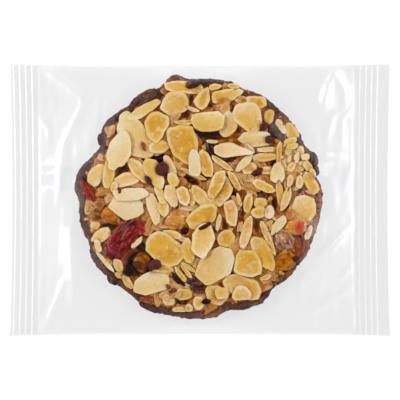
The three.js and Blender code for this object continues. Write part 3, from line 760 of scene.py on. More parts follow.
def resting_plane(mask, x, y, thickness, ceiling, tilt):
    """Base height and slopes of a piece that covers the mask, with its middle at x, y."""
    dx, dy, z = MAP_X[mask] - x, MAP_Y[mask] - y, heights[mask]
    if len(z) < 3:
        dx, dy, z = np.zeros(1), np.zeros(1), map_value(heights, np.array([x]), np.array([y]))
    system = np.stack([np.ones_like(dx), dx, dy], axis=1)
    _, slope_x, slope_y = np.linalg.lstsq(system, z, rcond=None)[0]
    slope_x += draw.uniform(-tilt, tilt)
    slope_y += draw.uniform(-tilt, tilt)
    steep = math.hypot(slope_x, slope_y)
    slopes = np.array((slope_x, slope_y)) * min(1.0, STEEPEST / max(steep, 0.01))
    for share in (1.0, FLATTER):
        rise = share * (slopes[0] * dx + slopes[1] * dy)
        base = np.quantile(z - rise, CLEARED) - SINK
        highest = (base + rise).max() + thickness
        if highest <= ceiling:
            break
    return base - max(0.0, highest - ceiling), *(share * slopes)


def ceiling_at(x, y, middle):
    """The cookie is thinner towards its rim, so the highest that a piece may reach falls off there."""
    away = math.hypot(x - COOKIE[0], y - COOKIE[1])
    return middle - RIM_DROP * float(smoothstep(away, 30, 43))


print("map of heights:", heights.shape, "highest bed point", heights.max().round(2), "mm")

# %% [markdown]
# ## Almond flakes
# A flake is a slice of almond, not quite 1 mm thick: an egg-shaped outline, often broken off straight
# on one side, a face that curls and dips a little, and a rounded cut edge. Each one is built from rings
# round its outline. Every point knows how far it is from the edge, so the material can leave the rim
# pale and the middle amber. A warm flake is soft, so one that falls later bends those that it covers.
# Many flakes go into one mesh, because hundreds of objects would be slow to handle.

# %% Flakes already laid
# Half the length of the longest flake, and how deep a new flake is let into those under it
HALF_LONGEST, LET_IN = 9, 0.1
LAID = []


def press_down(row, base, slope_x, slope_y):
    """Bend the flakes that were laid before, so that they pass under a new one and not through it."""
    x, y, length = row[:3]
    for points in LAID:
        if math.hypot(points[0, 0] - x, points[0, 1] - y) < length / 2 + HALF_LONGEST:
            plane = base + slope_x * (points[:, 0] - x) + slope_y * (points[:, 1] - y)
            covered = inside(points[:, 0], points[:, 1], *row[:5]) < 1.0
            points[:, 2] = np.where(covered, np.minimum(points[:, 2], plane + LET_IN), points[:, 2])


class Nuts:
    """Gathers the points, faces and attributes of many flakes into one mesh."""

    def __init__(self):
        self.points, self.faces, self.inset, self.lean, self.whole = [], [], [], [], []
        self.count = 0

    def add(self, points, faces, inset, lean, tone, glaze):
        self.points.append(points)
        LAID.append(points)
        self.lean.append(lean)
        self.faces.extend(tuple(i + self.count for i in face) for face in faces)
        self.inset.append(inset)
        self.whole.append(np.tile((tone, glaze, draw.random()), (len(points), 1)))
        self.count += len(points)

    def piece(self, name, material, slot):
        """Make the mesh. Attribute "under" says how deep a point lies under other flakes, for the painted
        shade there.
        """
        points, whole = np.concatenate(self.points), np.concatenate(self.whole)
        over = map_value(widened(heights, 2), points[:, 0], points[:, 1]) - points[:, 2]
        # In the chopped patch the painted shade under other flakes, and the glaze, are halved
        bare = 1 - 0.5 * chopped_share(points[:, 0], points[:, 1])
        attributes = {
            "inset": np.concatenate(self.inset), "lean": np.concatenate(self.lean),
            "under": smoothstep(over, 0.4, 1.5) * bare,
            "tone": whole[:, 0], "glaze": whole[:, 1] * bare, "grain": whole[:, 2],
        }
        return make_piece(name, points, self.faces, material, attributes, slot)


# %% The form of one flake
# The rounded edge, from underneath to the top: how far in from the outline, and how far up
EDGE_STEPS = ((0.12, 0.0), (0.01, 0.08), (0.0, 0.5), (0.03, 0.88), (0.1, 0.98), (0.4, 1.0))
INNER_STEP = 0.8


def flake_outline(sides, length, width, square, tip, cuts):
    """The edge of a flake in its own plane: a rounded oval, narrowed to a tip, with sides broken off."""
    around = np.arange(sides) * 2 * math.pi / sides
    cos, sin = np.cos(around), np.sin(around)
    tip = tip or draw.uniform(-0.2, 0.2)
    u = np.sign(cos) * np.abs(cos) ** (2 / square)
    v = np.sign(sin) * np.abs(sin) ** (2 / square)
    v = v * tapered(u, tip)
    phase = draw.uniform(0, 2 * math.pi, 4)
    waves = zip((2, 3, 5, 9), (0.035, 0.05, 0.035, 0.025), phase)
    wobble = 1 + sum(size * np.cos(count * around + start) for count, size, start in waves)
    u, v = u * wobble, v * wobble
    nicks = [(draw.uniform(0, 360), draw.uniform(0.83, 1.0)) for _ in range(5)]
    for turn, at in [*cuts, *nicks]:
        cut_cos, cut_sin = math.cos(math.radians(turn)), math.sin(math.radians(turn))
        beyond = 0.9 * np.maximum(u * cut_cos + v * cut_sin - at, 0)
        u, v = u - beyond * cut_cos, v - beyond * cut_sin
    return 1.05 * u * length / 2, 1.05 * v * width / 2


def flake_form(length, width, square, tip, cuts, thickness, facet):
    """Points of a flake about its middle, its faces, and how far each point is from the edge."""
    sides = int(np.clip(math.pi * (length + width) / 2 / facet, 16, 72))
    edge_u, edge_v = flake_outline(sides, length, width, square, tip, cuts)
    reach = np.hypot(edge_u, edge_v)
    bend = draw.uniform(-0.2, 0.6) * length / 12
    twist = draw.uniform(-0.35, 0.35) * length / 12
    dish = draw.uniform(-0.1, 0.35)
    ripple_at = draw.uniform(0, 50)

    def ring(share, lift):
        along, across = edge_u * share, edge_v * share
        ripple = bumps(np.stack([along, across, 0 * along], axis=1), 2.4, ripple_at)
        inward = 1 - np.mean(share) ** 2
        z = lift + bend * (2 * along / length) ** 2 - dish * inward + 0.13 * ripple
        z = z + twist * (2 * along / length) * (2 * across / width)
        return along, across, z

    edge_shares = [np.clip(1 - inset / np.maximum(reach, 0.4), 0.35, 1) for inset, _ in EDGE_STEPS]
    rings = [ring(share, thickness * lift) for share, (_, lift) in zip(edge_shares, EDGE_STEPS)]
    insets = [np.full(sides, inset) for inset, _ in EDGE_STEPS]
    inner = int(np.clip(round(min(length, width) / 2 / INNER_STEP), 2, 8))
    for step in range(1, inner):
        share = edge_shares[-1] * (1 - step / inner)
        rings.append(ring(share, thickness))
        insets.append(reach * (1 - share))
    inset = np.concatenate([[0.3], *insets, [reach.mean()]])
    between = [point for ring_points in rings for point in zip(*ring_points)]
    local = np.array([(0.0, 0.0, -dish), *between, (0.0, 0.0, thickness - dish)])
    return local, ring_faces(len(rings), sides), inset


# %% Laying one flake
# The part of its outline that a flake rests on, and how far its curl may stand above the ceiling
RESTS_WITHIN, CURL_ROOM = 0.96, 0.25
FLAKE_THICKNESS, SLIVER_THICKNESS = 0.8, 1.2


def lay_flake(nuts, row, thickness, middle_ceiling, glaze, tilt=0.04, facet=0.95, presses=False):
    """Lay one flake on what is under it, and add it to the map. Its edge has a point every facet mm or so."""
    x, y, length, width, turn, tone, square, tip, *cuts = row
    mask = inside(MAP_X, MAP_Y, x, y, length, width, turn, square, tip) < RESTS_WITHIN
    ceiling = ceiling_at(x, y, middle_ceiling)
    base, slope_x, slope_y = resting_plane(mask, x, y, thickness, ceiling, tilt)
    local, faces, inset = flake_form(length, width, square, tip, cuts, thickness, facet)
    dx, dy = turned(local[:, 0], local[:, 1], turn)
    points = np.stack([x + dx, y + dy, base + slope_x * dx + slope_y * dy + local[:, 2]], axis=1)
    points[:, 2] = np.minimum(points[:, 2], ceiling + CURL_ROOM)
    plane = base + slope_x * (MAP_X[mask] - x) + slope_y * (MAP_Y[mask] - y)
    heights[mask] = np.maximum(heights[mask], plane + thickness)
    # Towards a chance side, each flake gets a side that the material paints paler, as if lit
    towards = draw.uniform(0, 2 * math.pi)
    lean = 2 * (local[:, 0] / length * math.cos(towards) + local[:, 1] / width * math.sin(towards))
    if presses:
        press_down(row, base, slope_x, slope_y)
    nuts.add(points, faces, inset, lean, tone, glaze)


# %% Laying flakes by chance
# How often it is tried for each flake that is wanted, the share of a flake that has to fall on ground
# where it may lie, and the depth of hollow that it has to keep off
TRIES = 60
ON_ITS_GROUND, OPEN_HOLLOW = 0.6, 0.4


def lay_at_random(nuts, wanted, long, tones, glazes, tilt, middle_ceiling, where=on_bed, slim=0.4,
                  presses=False):
    """Lay flakes of chance size at chance places on part of the map, and off the hollows."""
    laid = 0
    for _ in range(wanted * TRIES):
        if laid == wanted:
            break
        turn, reach = draw.uniform(0, 2 * math.pi), math.sqrt(draw.random())
        length, first_cut = draw.uniform(*long), draw.uniform(0, 360)
        reach *= nut_radius(np.array(turn)) - 0.35 * length
        x, y = COOKIE[0] + reach * math.cos(turn), COOKIE[1] + reach * math.sin(turn)
        cuts = [
            (first_cut, draw.uniform(0.3, 0.7)),
            (first_cut + draw.uniform(80, 200), draw.uniform(0.4, 0.8)),
        ]
        shape = (draw.uniform(1.9, 2.8), draw.uniform(-0.5, 0.5), *cuts[:draw.integers(1, 3)])
        width, long_axis, tone = length * draw.uniform(slim, 0.9), draw.uniform(0, 180), draw.uniform(*tones)
        row = (x, y, length, width, long_axis, tone, *shape)
        if not map_value(where, np.array(x), np.array(y)):
            continue
        under = inside(MAP_X, MAP_Y, *row[:5]) < 0.9
        if where[under].sum() < ON_ITS_GROUND * under.sum() or (hollow_map[under] > OPEN_HOLLOW).any():
            continue
        lay_flake(nuts, row, FLAKE_THICKNESS, middle_ceiling, draw.uniform(*glazes), tilt, presses=presses)
        laid += 1
    print("laid at random:", laid, "highest now:", heights.max().round(2))


# %% [markdown]
# Many small flakes come first. Only parts of them will show, in the gaps between larger ones, so their
# places are left to chance. They are small and glazed brown with caramel.

# %% Small flakes under the large ones
small_nuts = Nuts()
lay_at_random(small_nuts, 220, long=(5, 12), tones=(0.1, 0.9), glazes=(0.5, 1.0), tilt=0.2,
              middle_ceiling=6.7)

# %% [markdown]
# ## Dried fruit
# Cranberries, sultanas and raisins are wrinkled, sticky lumps. Each starts as a fine sphere whose points
# are pushed in along folds of noise, then pressed to its own length, width and height. The rows give
# the place, length, width, turn, the height of its top, the depth of its wrinkles and how bright it is.
# The large cranberry is three lumps that have grown together.

# %% Rows of fruit
FRUIT = {
    "cranberries": ((-41, 3.4, 10, 2.8, -57, 7.1, 0.12, 0.6), (-27, -13.2, 15, 10, 50, 8.2, 0.2, 0.42),
                    (-31.2, -18, 10, 7, -40, 7.7, 0.24, 0.35), (-21.7, -10.8, 4.6, 3.4, 40, 7.9, 0.1, 0.7)),
    "cherry_pieces": ((36.2, -9.9, 4.4, 3.2, 80, 8.3, 0.05, 0.6),),
    "sultanas": ((-8.6, -7.2, 8.6, 7.6, 0, 8.1, 0.08, 0.6), (-36.8, -1.5, 4.8, 4, 0, 7.0, 0.1, 0.3),
                 (35.2, -9.8, 9, 6.4, 10, 7.7, 0.08, 0.65)),
    "golden_raisin": ((30.5, -15, 9.4, 7.4, -60, 8.1, 0.2, 0.5),),
    "raisins": ((4, 19.4, 7, 5.4, -60, 7.4, 0.2, 0.1), (-0.8, -30.3, 9, 7.5, 0, 7.9, 0.22, 0.24),
                (36.0, -17, 11, 7.6, 70, 7.4, 0.16, 0.55), (3.4, 24, 12, 3, -5, 7.2, 0.16, 0.0),
                (9, 15.8, 10, 3, -28, 7.1, 0.16, 0.1), (-8, -28.5, 8.5, 3.4, -45, 7.2, 0.16, 0.0),
                (23, 1.8, 4, 2.6, -20, 7.0, 0.16, 0.3), (-19, -36.6, 6.5, 3, -15, 6.3, 0.16, 0.8),
                (41.6, 14.6, 3.4, 6.4, 12, 5.9, 0.16, 0.25)),
    "orange_peel": ((-32.9, -5.3, 6.4, 6.6, 20, 7.5, 0.08, 0.6), (30.6, -22, 10.5, 7, 30, 7.2, 0.1, 0.5),
                    (-21.3, -22.8, 6.6, 8.4, 10, 6.0, 0.05, 0.28)),
}

# %% One lump from a sphere
# Folds run along a lump, so their noise is drawn out along its length. A lump that is longer than
# LARGE_LUMP gets the finer sphere.
FOLD_STRETCH = np.array((0.7, 1.8, 1.3))
LARGE_LUMP = 7


def unit_sphere(subdivisions):
    bpy.ops.mesh.primitive_ico_sphere_add(subdivisions=subdivisions, radius=1)
    ball = bpy.context.object
    points = np.array([v.co for v in ball.data.vertices])
    faces = [tuple(p.vertices) for p in ball.data.polygons]
    bpy.data.objects.remove(ball, do_unlink=True)
    return points, faces


SPHERES = {level: unit_sphere(level) for level in (4, 5)}


def lay_lumps(name, rows, seed, material, slot):
    """Lay lumps where the rows say. One without a height of its own lies on what is already there."""
    all_points, all_faces, bright, crease, count = [], [], [], [], 0
    for index, (x, y, length, width, turn, top, wrinkle, brightness) in enumerate(rows):
        ball, faces = SPHERES[5 if length > LARGE_LUMP else 4]
        far = inside(MAP_X, MAP_Y, x, y, length, width, turn)
        mask = far < 0.95
        half_height = min(width, 5.5) / 4
        if top is None:
            ground = np.quantile(heights[mask], 0.7)
            top = min(ground + 0.45 * width, HIGHEST_BEAD)
            half_height = top - ground + 0.15
        shift = seed * 13.7 + index * 5.1
        folds = np.clip(1 - np.abs(bumps(ball * FOLD_STRETCH, 0.8, shift)) * 3, 0, 1)
        pits = bumps(ball * FOLD_STRETCH, 0.25, shift + 9)
        swell = 1 + 0.3 * bumps(ball, 1.2, shift + 3) - wrinkle * (folds + 0.15 * pits)
        local = ball * swell[:, None] * np.array((length / 2, width / 2, half_height))
        dx, dy = turned(local[:, 0], local[:, 1], turn)
        points = np.stack([dx + x, dy + y, local[:, 2] - local[:, 2].max() + top], axis=1)
        all_points.append(points)
        all_faces.extend(tuple(i + count for i in face) for face in faces)
        bright.append(np.full(len(points), brightness))
        crease.append(folds)
        count += len(points)
        heights[mask] = np.maximum(heights[mask], top - half_height * (1 - np.sqrt(1 - far[mask] ** 2)))
        placed_map[mask] = 1
    attributes = {"bright": np.concatenate(bright), "crease": np.concatenate(crease)}
    return make_piece(name, np.concatenate(all_points), all_faces, material, attributes, slot)


# %% [markdown]
# Dried fruit gets painted highlights where its skin is smooth and painted shade in its folds. One recipe
# serves for all: a dark colour, a middle one and a bright one for the painted highlights, mixed by
# blotches, by the fold that a point lies in, and by the brightness of the lump. Chocolate beads take the
# same recipe with hardly any painted highlight and no coat.

# %% Fruit materials
def lump_material(name, dark, middle, bright, roughness, bump, coat):
    recipe = Recipe(name, Roughness=roughness, Coat_Roughness=0.08, Coat_Weight=coat, Specular_IOR_Level=0.1)
    own, crease = recipe.attribute("bright"), recipe.attribute("crease")
    blotch, streak = recipe.noise(2.4, 3), recipe.noise(1.3, 4)
    # Painted shade: darker in the folds of each lump
    colour = recipe.mix((0.9 * own + blotch - 0.3 - 0.35 * crease).clamp().step(0.1, 0.7), dark, middle)
    # Painted highlights in streaks where the skin is smooth, in the bright colour
    painted_shine = (streak.step(0.5, 0.68) * (own + 0.8 * blotch - 0.4 - crease)).clamp()
    recipe.set(Base_Color=recipe.mix(painted_shine, colour, bright))
    recipe.set(Normal=recipe.bump(recipe.noise(1.4, 4), bump, 0.4))
    return recipe.material


# The third colour of each finish is the colour of the painted highlights
FINISHES = {
    "cranberries": (rgb(58, 8, 12), rgb(160, 26, 16), rgb(216, 124, 112), 0.35, 0.6, 0.5),
    "cherry_pieces": (rgb(160, 44, 14), rgb(216, 84, 40), rgb(240, 160, 120), 0.3, 0.4, 0.6),
    "sultanas": (rgb(150, 88, 30), rgb(220, 150, 62), rgb(255, 236, 222), 0.3, 0.6, 0.8),
    "golden_raisin": (rgb(84, 40, 20), rgb(190, 134, 92), rgb(255, 240, 230), 0.3, 0.6, 0.9),
    "raisins": (rgb(44, 12, 10), rgb(140, 62, 20), rgb(196, 146, 100), 0.3, 0.6, 0.6),
    "orange_peel": (rgb(112, 54, 4), rgb(204, 118, 4), rgb(230, 162, 20), 0.35, 0.6, 0.4),
    "chocolate_beads": (rgb(26, 8, 7), rgb(92, 44, 34), rgb(108, 66, 56), 0.5, 0.2, 0.0),
}
for seed, (kind, rows) in enumerate(FRUIT.items()):
    lay_lumps(kind, rows, seed, lump_material(kind, *FINISHES[kind]), "dried_fruit")

# %% [markdown]
# ## The flakes that show
# A second handful of small flakes fills the gaps between the fruit. Then the flakes with a place of
# their own are laid, lowest first. The more flakes lie under one, the higher it may reach, and each
# presses down those that it covers. They make a piece of their own, apart from the small ones. Small
# flakes are made more amber towards the right half.

# %% Small flakes between the fruit
lay_at_random(small_nuts, 130, long=(5, 9), tones=(0.0, 0.9), glazes=(0.3, 1.0), tilt=0.15,
              middle_ceiling=7.15, where=placed_map < 0.5)

# %% The flakes with places of their own
# A sliver is narrower than the first width and is laid thicker. A flake narrower than the second is made
# more amber towards the right half, unless its tone is as pale as the bare nut.
SLIVER_WIDTH, LARGE_WIDTH = 2.7, 7
PALE_TONE, RIGHT_HALF_AMBER = 0.14, 0.22
LOWEST_CEILING = 7.65
nuts = Nuts()


def levels_of(rows):
    """How many flakes lie one on another down to the bed, for each row."""
    level_map = np.zeros(MAP_X.shape, dtype=int)
    levels = []
    for row in rows:
        covered = inside(MAP_X, MAP_Y, *row[:5]) < 0.88
        levels.append(level_map[covered].max() + 1)
        level_map[covered] = levels[-1]
    return np.array(levels)


def amber_on_right(row):
    """The row of a flake with its tone shifted: small ones are more amber towards the right half."""
    x, y, length, width, turn, tone, *form = row
    if width < LARGE_WIDTH and tone > PALE_TONE:
        tone += RIGHT_HALF_AMBER * float(smoothstep(x, -12, 0))
    return (x, y, length, width, turn, tone, *form)


levels = levels_of(FLAKES)
for row, level in zip(map(amber_on_right, FLAKES), levels):
    thickness = SLIVER_THICKNESS if row[3] < SLIVER_WIDTH else FLAKE_THICKNESS
    share = (level - 1) / (levels.max() - 1)
    middle_ceiling = LOWEST_CEILING + (HIGHEST_NUT - LOWEST_CEILING) * share**0.7
    glaze = 0.1 * (1 - share) + max(0, row[5] - 1.2)
    lay_flake(nuts, row, thickness, middle_ceiling, glaze, facet=0.55, presses=True)
    placed_map = np.maximum(placed_map, inside(MAP_X, MAP_Y, *row[:5]) < 1.05)
print("levels:", np.bincount(levels)[1:])

# %% [markdown]
# The gaps that are still open get the last small ones: broken flakes, fine chips in the chopped patch,
# and splinters. A map says where each kind may fall.

# %% Small flakes in the gaps
open_map = (placed_map < 0.5) & (heights < 7.1)
chopped_map = chopped_share(MAP_X, MAP_Y) > 0.3
lay_at_random(small_nuts, 60, long=(4, 7), tones=(0.2, 1.0), glazes=(0.4, 1.0), tilt=0.25,
              middle_ceiling=7.5, where=open_map, slim=0.3)
lay_at_random(small_nuts, 20, long=(1.6, 3.4), tones=(0.0, 0.7), glazes=(0.0, 0.4), tilt=0.2,
              middle_ceiling=8.2, where=chopped_map & (placed_map < 0.5), slim=0.35, presses=True)
lay_at_random(small_nuts, 50, long=(1.8, 3.6), tones=(0.1, 1.0), glazes=(0.3, 1.0), tilt=0.25,
              middle_ceiling=7.3, where=open_map, slim=0.25)
print("flakes in all:", len(nuts.points) + len(small_nuts.points))

# %% [markdown]
# ## Chocolate beads, small raisins and lumps on the rim
# Drops of chocolate and small raisins are the last to fall, and each rests on whatever lies below it.
# Where the chocolate was poured it left lumps on the rim. All are laid in the same way as the fruit.

# %% Beads, small raisins and rim lumps
BEADS = (
    (-15.2, 15.1, 5.2, 4.2, -20, None, 0.1, 0.0), (-14, 11.2, 5.2, 4.8, 90, None, 0.05, 0.6),
    (25.3, 22, 3.3, 3.2, 0, None, 0.03, 0.6), (23, 26.8, 4, 3.2, 30, None, 0.06, 0.6),
    (21, 10.2, 4.6, 2.8, 30, None, 0.05, 0.5), (2, -9.4, 5.2, 1.7, 28, None, 0.06, 0.4),
    (-16.3, -24, 4.8, 4.4, 0, 7.9, 0.04, 0.6), (-22.9, -23.6, 3.2, 2.9, 0, 7.4, 0.04, 0.6),
    (34.8, -21.5, 2.4, 2.2, 0, None, 0.04, 0.3), (2.3, -37, 3.6, 2, 0, None, 0.04, 0.2),
    (-25.7, -26, 4.2, 3.6, 30, 7.2, 0.08, 0.1),
)
DARK_RAISINS = (
    (-2.6, 42.3, 5.6, 3.2, 15, None, 0.1, 0.12), (-18.7, 7.2, 3.8, 2.0, -50, None, 0.1, 0.1),
    (-29.3, 3.2, 2, 1.2, 80, None, 0.05, 0.4), (-10, -33, 3, 1.8, 20, None, 0.05, 0.3),
    (-11.7, -31.5, 2.2, 1.6, -60, None, 0.05, 0.4), (-20.6, 19.6, 3.4, 1.5, -75, None, 0.05, 0.7),
)
RIM_LUMPS = (
    (-19, 38, 8.5, 4.6, 34, 6.2, 0.2, 1), (-36.2, 22.5, 2.6, 5, 0, 5.4, 0.3, 1),
    (-19.5, -38.6, 6, 3, -25, 5.6, 0.15, 0.5), (-32.2, -29, 5, 3, -45, 5.4, 0.15, 0.5),
    (42.2, 10.6, 3, 4, 0, 5.6, 0.15, 0.5), (27.2, 25.2, 7.5, 4.2, -45, 6.3, 0.25, 0.5),
)
bead_material = lump_material("chocolate_beads", *FINISHES["chocolate_beads"])
lay_lumps("chocolate_beads", BEADS, 7, bead_material, "dark_chocolate")
lay_lumps("dark_raisins", DARK_RAISINS, 6, bpy.data.materials["raisins"], "dried_fruit")
lay_lumps("rim_lumps", RIM_LUMPS, 8, chocolate_material("bloomed_chocolate", 1.4), "dark_chocolate")

# %% [markdown]
# The almond's own colour is cream. Caramel soaks in from the middle and turns it amber, and it stops
# short of the cut edge, so each flake keeps a pale band round it. Brown shade is painted wherever one
# flake lies under another, which draws each outline. One side of each flake is painted paler as if lit,
# and pale gleams of highlight are painted on the amber.

# %% Almond material
def almond_material():
    recipe = Recipe("toasted_almond", Coat_Roughness=0.12, Specular_IOR_Level=0.2)
    recipe.set(Subsurface_Weight=0.12, Subsurface_Radius=(1.0, 0.55, 0.25), Subsurface_Scale=MM)
    inset, tone, under = recipe.attribute("inset"), recipe.attribute("tone"), recipe.attribute("under")
    grain, glaze, lean = recipe.attribute("grain"), recipe.attribute("glaze"), recipe.attribute("lean")
    cloud, mottle, fine = recipe.noise(5.0, 2), recipe.noise(1.6, 4), recipe.noise(0.6, 4)

    # The bare nut: cream in warmer and cooler grains, with pale frosting in patches, and one side of each
    # flake painted paler as if lit
    tint = (recipe.noise(2.6, 3) + 0.3 * grain - 0.15).step(0.4, 0.6)
    cream = recipe.mix(tint, rgb(240, 214, 128), rgb(250, 220, 166))
    pale = recipe.mix((cloud + 0.5 * grain + 0.15 * lean - 0.2).step(0.25, 0.6), rgb(238, 200, 112), cream)
    frost_and_painted_light = (0.5 * mottle.step(0.5, 0.66) + 0.6 * (0.9 - 4 * tone).clamp()
             + 0.9 * (lean + cloud - 0.5).step(0.3, 1.0))
    frosted_and_lit = recipe.mix((frost_and_painted_light.clamp() * (1.15 - 0.7 * tone)).clamp(), pale, rgb(245, 230, 196))

    # Caramel soaks in from the middle, in patches
    amber = recipe.mix((0.6 * cloud + 0.4 * mottle).step(0.35, 0.65), rgb(216, 152, 28), rgb(241, 188, 72))
    inner = (inset + 1.4 * mottle - 0.7).step(0.45, 1.9)
    patchy = 0.6 * cloud.step(0.35, 0.65) + 0.5 * mottle.step(0.38, 0.62) - 0.55
    # The painted lit side also takes less amber
    soaked = ((1.3 * tone + 0.05 + patchy * (0.3 + 1.1 * tone) - 0.35 * lean).clamp() * inner).clamp()
    colour = recipe.mix(soaked, frosted_and_lit, amber)

    # What lies on it: brown glaze, a line of skin at some edges, painted gleams of highlight, painted
    # brown shade under other flakes, specks, and fine grain
    skin = (1 - inset.step(0.03, 0.2)) * grain.step(0.3, 0.9)
    # Painted gleams: pale highlight patches on the soaked amber
    painted_gleam = recipe.noise(2.2, 3, 0.4).step(0.6, 0.66) * soaked
    specks = recipe.noise(1.0, 2).step(0.7, 0.76)
    layers = (
        (glaze * (0.5 + 0.7 * mottle), rgb(190, 104, 2)), (0.6 * skin, rgb(190, 124, 50)),
        (0.5 * painted_gleam, rgb(246, 222, 190)), (under * 0.8, rgb(186, 98, 2)), (0.7 * specks, rgb(140, 82, 36)),
        (0.35 * fine.step(0.55, 0.8), rgb(206, 144, 58)),
    )
    for share, paint in layers:
        colour = recipe.mix(share.clamp(), colour, paint)
    coat = ((0.1 + 0.5 * soaked) * (1 - 0.7 * under)).clamp()
    recipe.set(Base_Color=colour, Roughness=0.3 + 0.25 * mottle, Coat_Weight=coat)
    wrinkles = recipe.noise(0.8, 5, 0.6) + (0.6 + 1.6 * soaked) * recipe.noise(2.2, 3)
    recipe.set(Normal=recipe.bump(wrinkles, 0.6, 0.3))
    return recipe.material


almond = almond_material()
nuts.piece("almond_flakes", almond, "toasted_almond")
small_nuts.piece("small_flakes", almond, "toasted_almond")

# %% [markdown]
# ## Chopped almond and crumbs
# Between the flakes lie chips of almond and drops of caramel, too many to place by hand. A Geometry
# Nodes tree scatters one rough chip over the bed: its number for each square millimetre, its size and
# the seed are named inputs, and the tree ends with real faces and a material.

# %% The scattering tree
CHIP_FORM = (1.0, 0.7, 0.45)


def scatter_tree(name):
    """A tree that scatters lumpy chips over a surface, as thickly as its attribute "bare" says."""
    tree = bpy.data.node_groups.new(name, "GeometryNodeTree")
    inputs = (
        ("Geometry", "NodeSocketGeometry", None), ("Per square metre", "NodeSocketFloat", 1e5),
        ("Smallest", "NodeSocketFloat", 0.5 * MM), ("Largest", "NodeSocketFloat", 1.5 * MM),
        ("Roughness of form", "NodeSocketFloat", 0.5), ("Seed", "NodeSocketInt", 1),
        ("Material", "NodeSocketMaterial", None),
    )
    for label, kind, default in inputs:
        socket = tree.interface.new_socket(name=label, in_out="INPUT", socket_type=kind)
        if default is not None:
            socket.default_value = default
    tree.interface.new_socket(name="Geometry", in_out="OUTPUT", socket_type="NodeSocketGeometry")

    def add(kind, settings=None, sockets=None):
        """Add a node: its settings first, then the values or links of its sockets, by number or name."""
        node = tree.nodes.new(kind)
        for key, value in (settings or {}).items():
            setattr(node, key, value)
        for key, value in (sockets or {}).items():
            if isinstance(value, bpy.types.NodeSocket):
                tree.links.new(value, node.inputs[key])
            else:
                node.inputs[key].default_value = value
        return node.outputs

    given = add("NodeGroupInput")
    seed = given["Seed"]

    # Places on the surface
    bare = add("GeometryNodeInputNamedAttribute", {"data_type": "FLOAT"}, {"Name": "bare"})
    density = add("ShaderNodeMath", {"operation": "MULTIPLY"}, {0: bare[0], 1: given["Per square metre"]})
    spots = add("GeometryNodeDistributePointsOnFaces", None,
                {"Mesh": given["Geometry"], "Density": density[0], "Seed": seed})

    # One chip: a ball whose points are moved by noise
    ball = add("GeometryNodeMeshIcoSphere", None, {"Radius": 1.0, "Subdivisions": 2})
    lumps = add("ShaderNodeTexNoise", {"noise_dimensions": "3D"}, {"Scale": 0.9, "Detail": 2.0})
    centred = add("ShaderNodeVectorMath", {"operation": "SUBTRACT"}, {0: lumps["Color"], 1: (0.5, 0.5, 0.5)})
    moved = add("ShaderNodeVectorMath", {"operation": "SCALE"},
                {0: centred[0], "Scale": given["Roughness of form"]})
    chip = add("GeometryNodeSetPosition", None, {"Geometry": ball["Mesh"], "Offset": moved[0]})

    # A copy of it on each place, turned, sized and shaded by chance
    turn = add("FunctionNodeRandomValue", {"data_type": "FLOAT_VECTOR"},
               {"Max": (2 * math.pi,) * 3, "Seed": seed})
    size = add("FunctionNodeRandomValue", {"data_type": "FLOAT"},
               {2: given["Smallest"], 3: given["Largest"], "Seed": seed})
    scale = add("ShaderNodeVectorMath", {"operation": "SCALE"}, {0: CHIP_FORM, "Scale": size[1]})
    placed = add("GeometryNodeInstanceOnPoints", None,
                 {"Points": spots["Points"], "Instance": chip[0], "Rotation": turn[0], "Scale": scale[0]})
    shade = add("FunctionNodeRandomValue", {"data_type": "FLOAT"}, {"Seed": seed})
    marked = add("GeometryNodeStoreNamedAttribute", {"data_type": "FLOAT", "domain": "INSTANCE"},
                 {"Geometry": placed[0], "Name": "grain", "Value": shade[1]})

    # Real faces with a material
    real = add("GeometryNodeRealizeInstances", None, {"Geometry": marked[0]})
    soft = add("GeometryNodeSetShadeSmooth", None, {"Geometry": real[0]})
    dressed = add("GeometryNodeSetMaterial", None, {"Geometry": soft[0], "Material": given["Material"]})
    add("NodeGroupOutput", None, {0: dressed[0]})
    return tree


def grow(name, base, tree, slot, **values):
    """Run a tree on a base object, and keep only the faces that it makes."""
    modifier = base.modifiers.new("grow", "NODES")
    modifier.node_group = tree
    for item in tree.interface.items_tree:
        if item.in_out == "INPUT" and item.name in values:
            modifier[item.identifier] = values[item.name]
    evaluated = base.evaluated_get(bpy.context.evaluated_depsgraph_get())
    mesh = bpy.data.meshes.new_from_object(evaluated)
    base.modifiers.remove(modifier)
    mesh.name = name
    mesh.materials.clear()
    mesh.materials.append(values["Material"])
    mesh.polygons.foreach_set("material_index", [0] * len(mesh.polygons))
    piece = bpy.data.objects.new(name, mesh)
    scene.collection.objects.link(piece)
    return declare(piece, slot)


# %% Ground for the chips
def ground_for_scatter(open_here):
    """A sheet over all that has been laid, which says where chips may fall. It is removed after use."""
    mesh = bpy.data.meshes.new("scatter_ground")
    points = np.stack([MAP_X.ravel(), MAP_Y.ravel(), heights.ravel()], axis=1) * MM
    mesh.from_pydata(points.tolist(), [], grid_faces(*MAP_X.shape).tolist())
    bare = mesh.attributes.new("bare", "FLOAT", "POINT")
    bare.data.foreach_set("value", open_here.ravel().astype(np.float32))
    ground = bpy.data.objects.new("scatter_ground", mesh)
    scene.collection.objects.link(ground)
    return ground


low_places = 1 - smoothstep(heights - chopped_map, 6.2, 7.2)
uncovered = low_places * (map_radius < nut_radius(map_angle) - 0.5) * (1 - hollow_map)
uncovered = uncovered * (1 - placed_map)
rim_share = on_rim * swollen(map_angle, 0.0, CRUMBED_RIM) * (1 - placed_map)
almond_ground = ground_for_scatter(uncovered * (0.3 + 0.7 * chopped_map))
caramel_ground = ground_for_scatter(np.maximum(uncovered, rim_share))
print("ground open to chips in square mm:", round(uncovered.sum() * CELL**2))


# %% Chips and crumbs
def chip_material(name, dark, pale, coat):
    recipe = Recipe(name, Roughness=0.4, Coat_Weight=coat, Coat_Roughness=0.1, Specular_IOR_Level=0.3)
    grain, blotch = recipe.attribute("grain"), recipe.noise(1.2, 3)
    recipe.set(Base_Color=recipe.mix((0.7 * grain + 0.6 * blotch - 0.15).clamp(), dark, pale))
    recipe.set(Normal=recipe.bump(recipe.noise(0.5, 4), 0.4, 0.15))
    return recipe.material


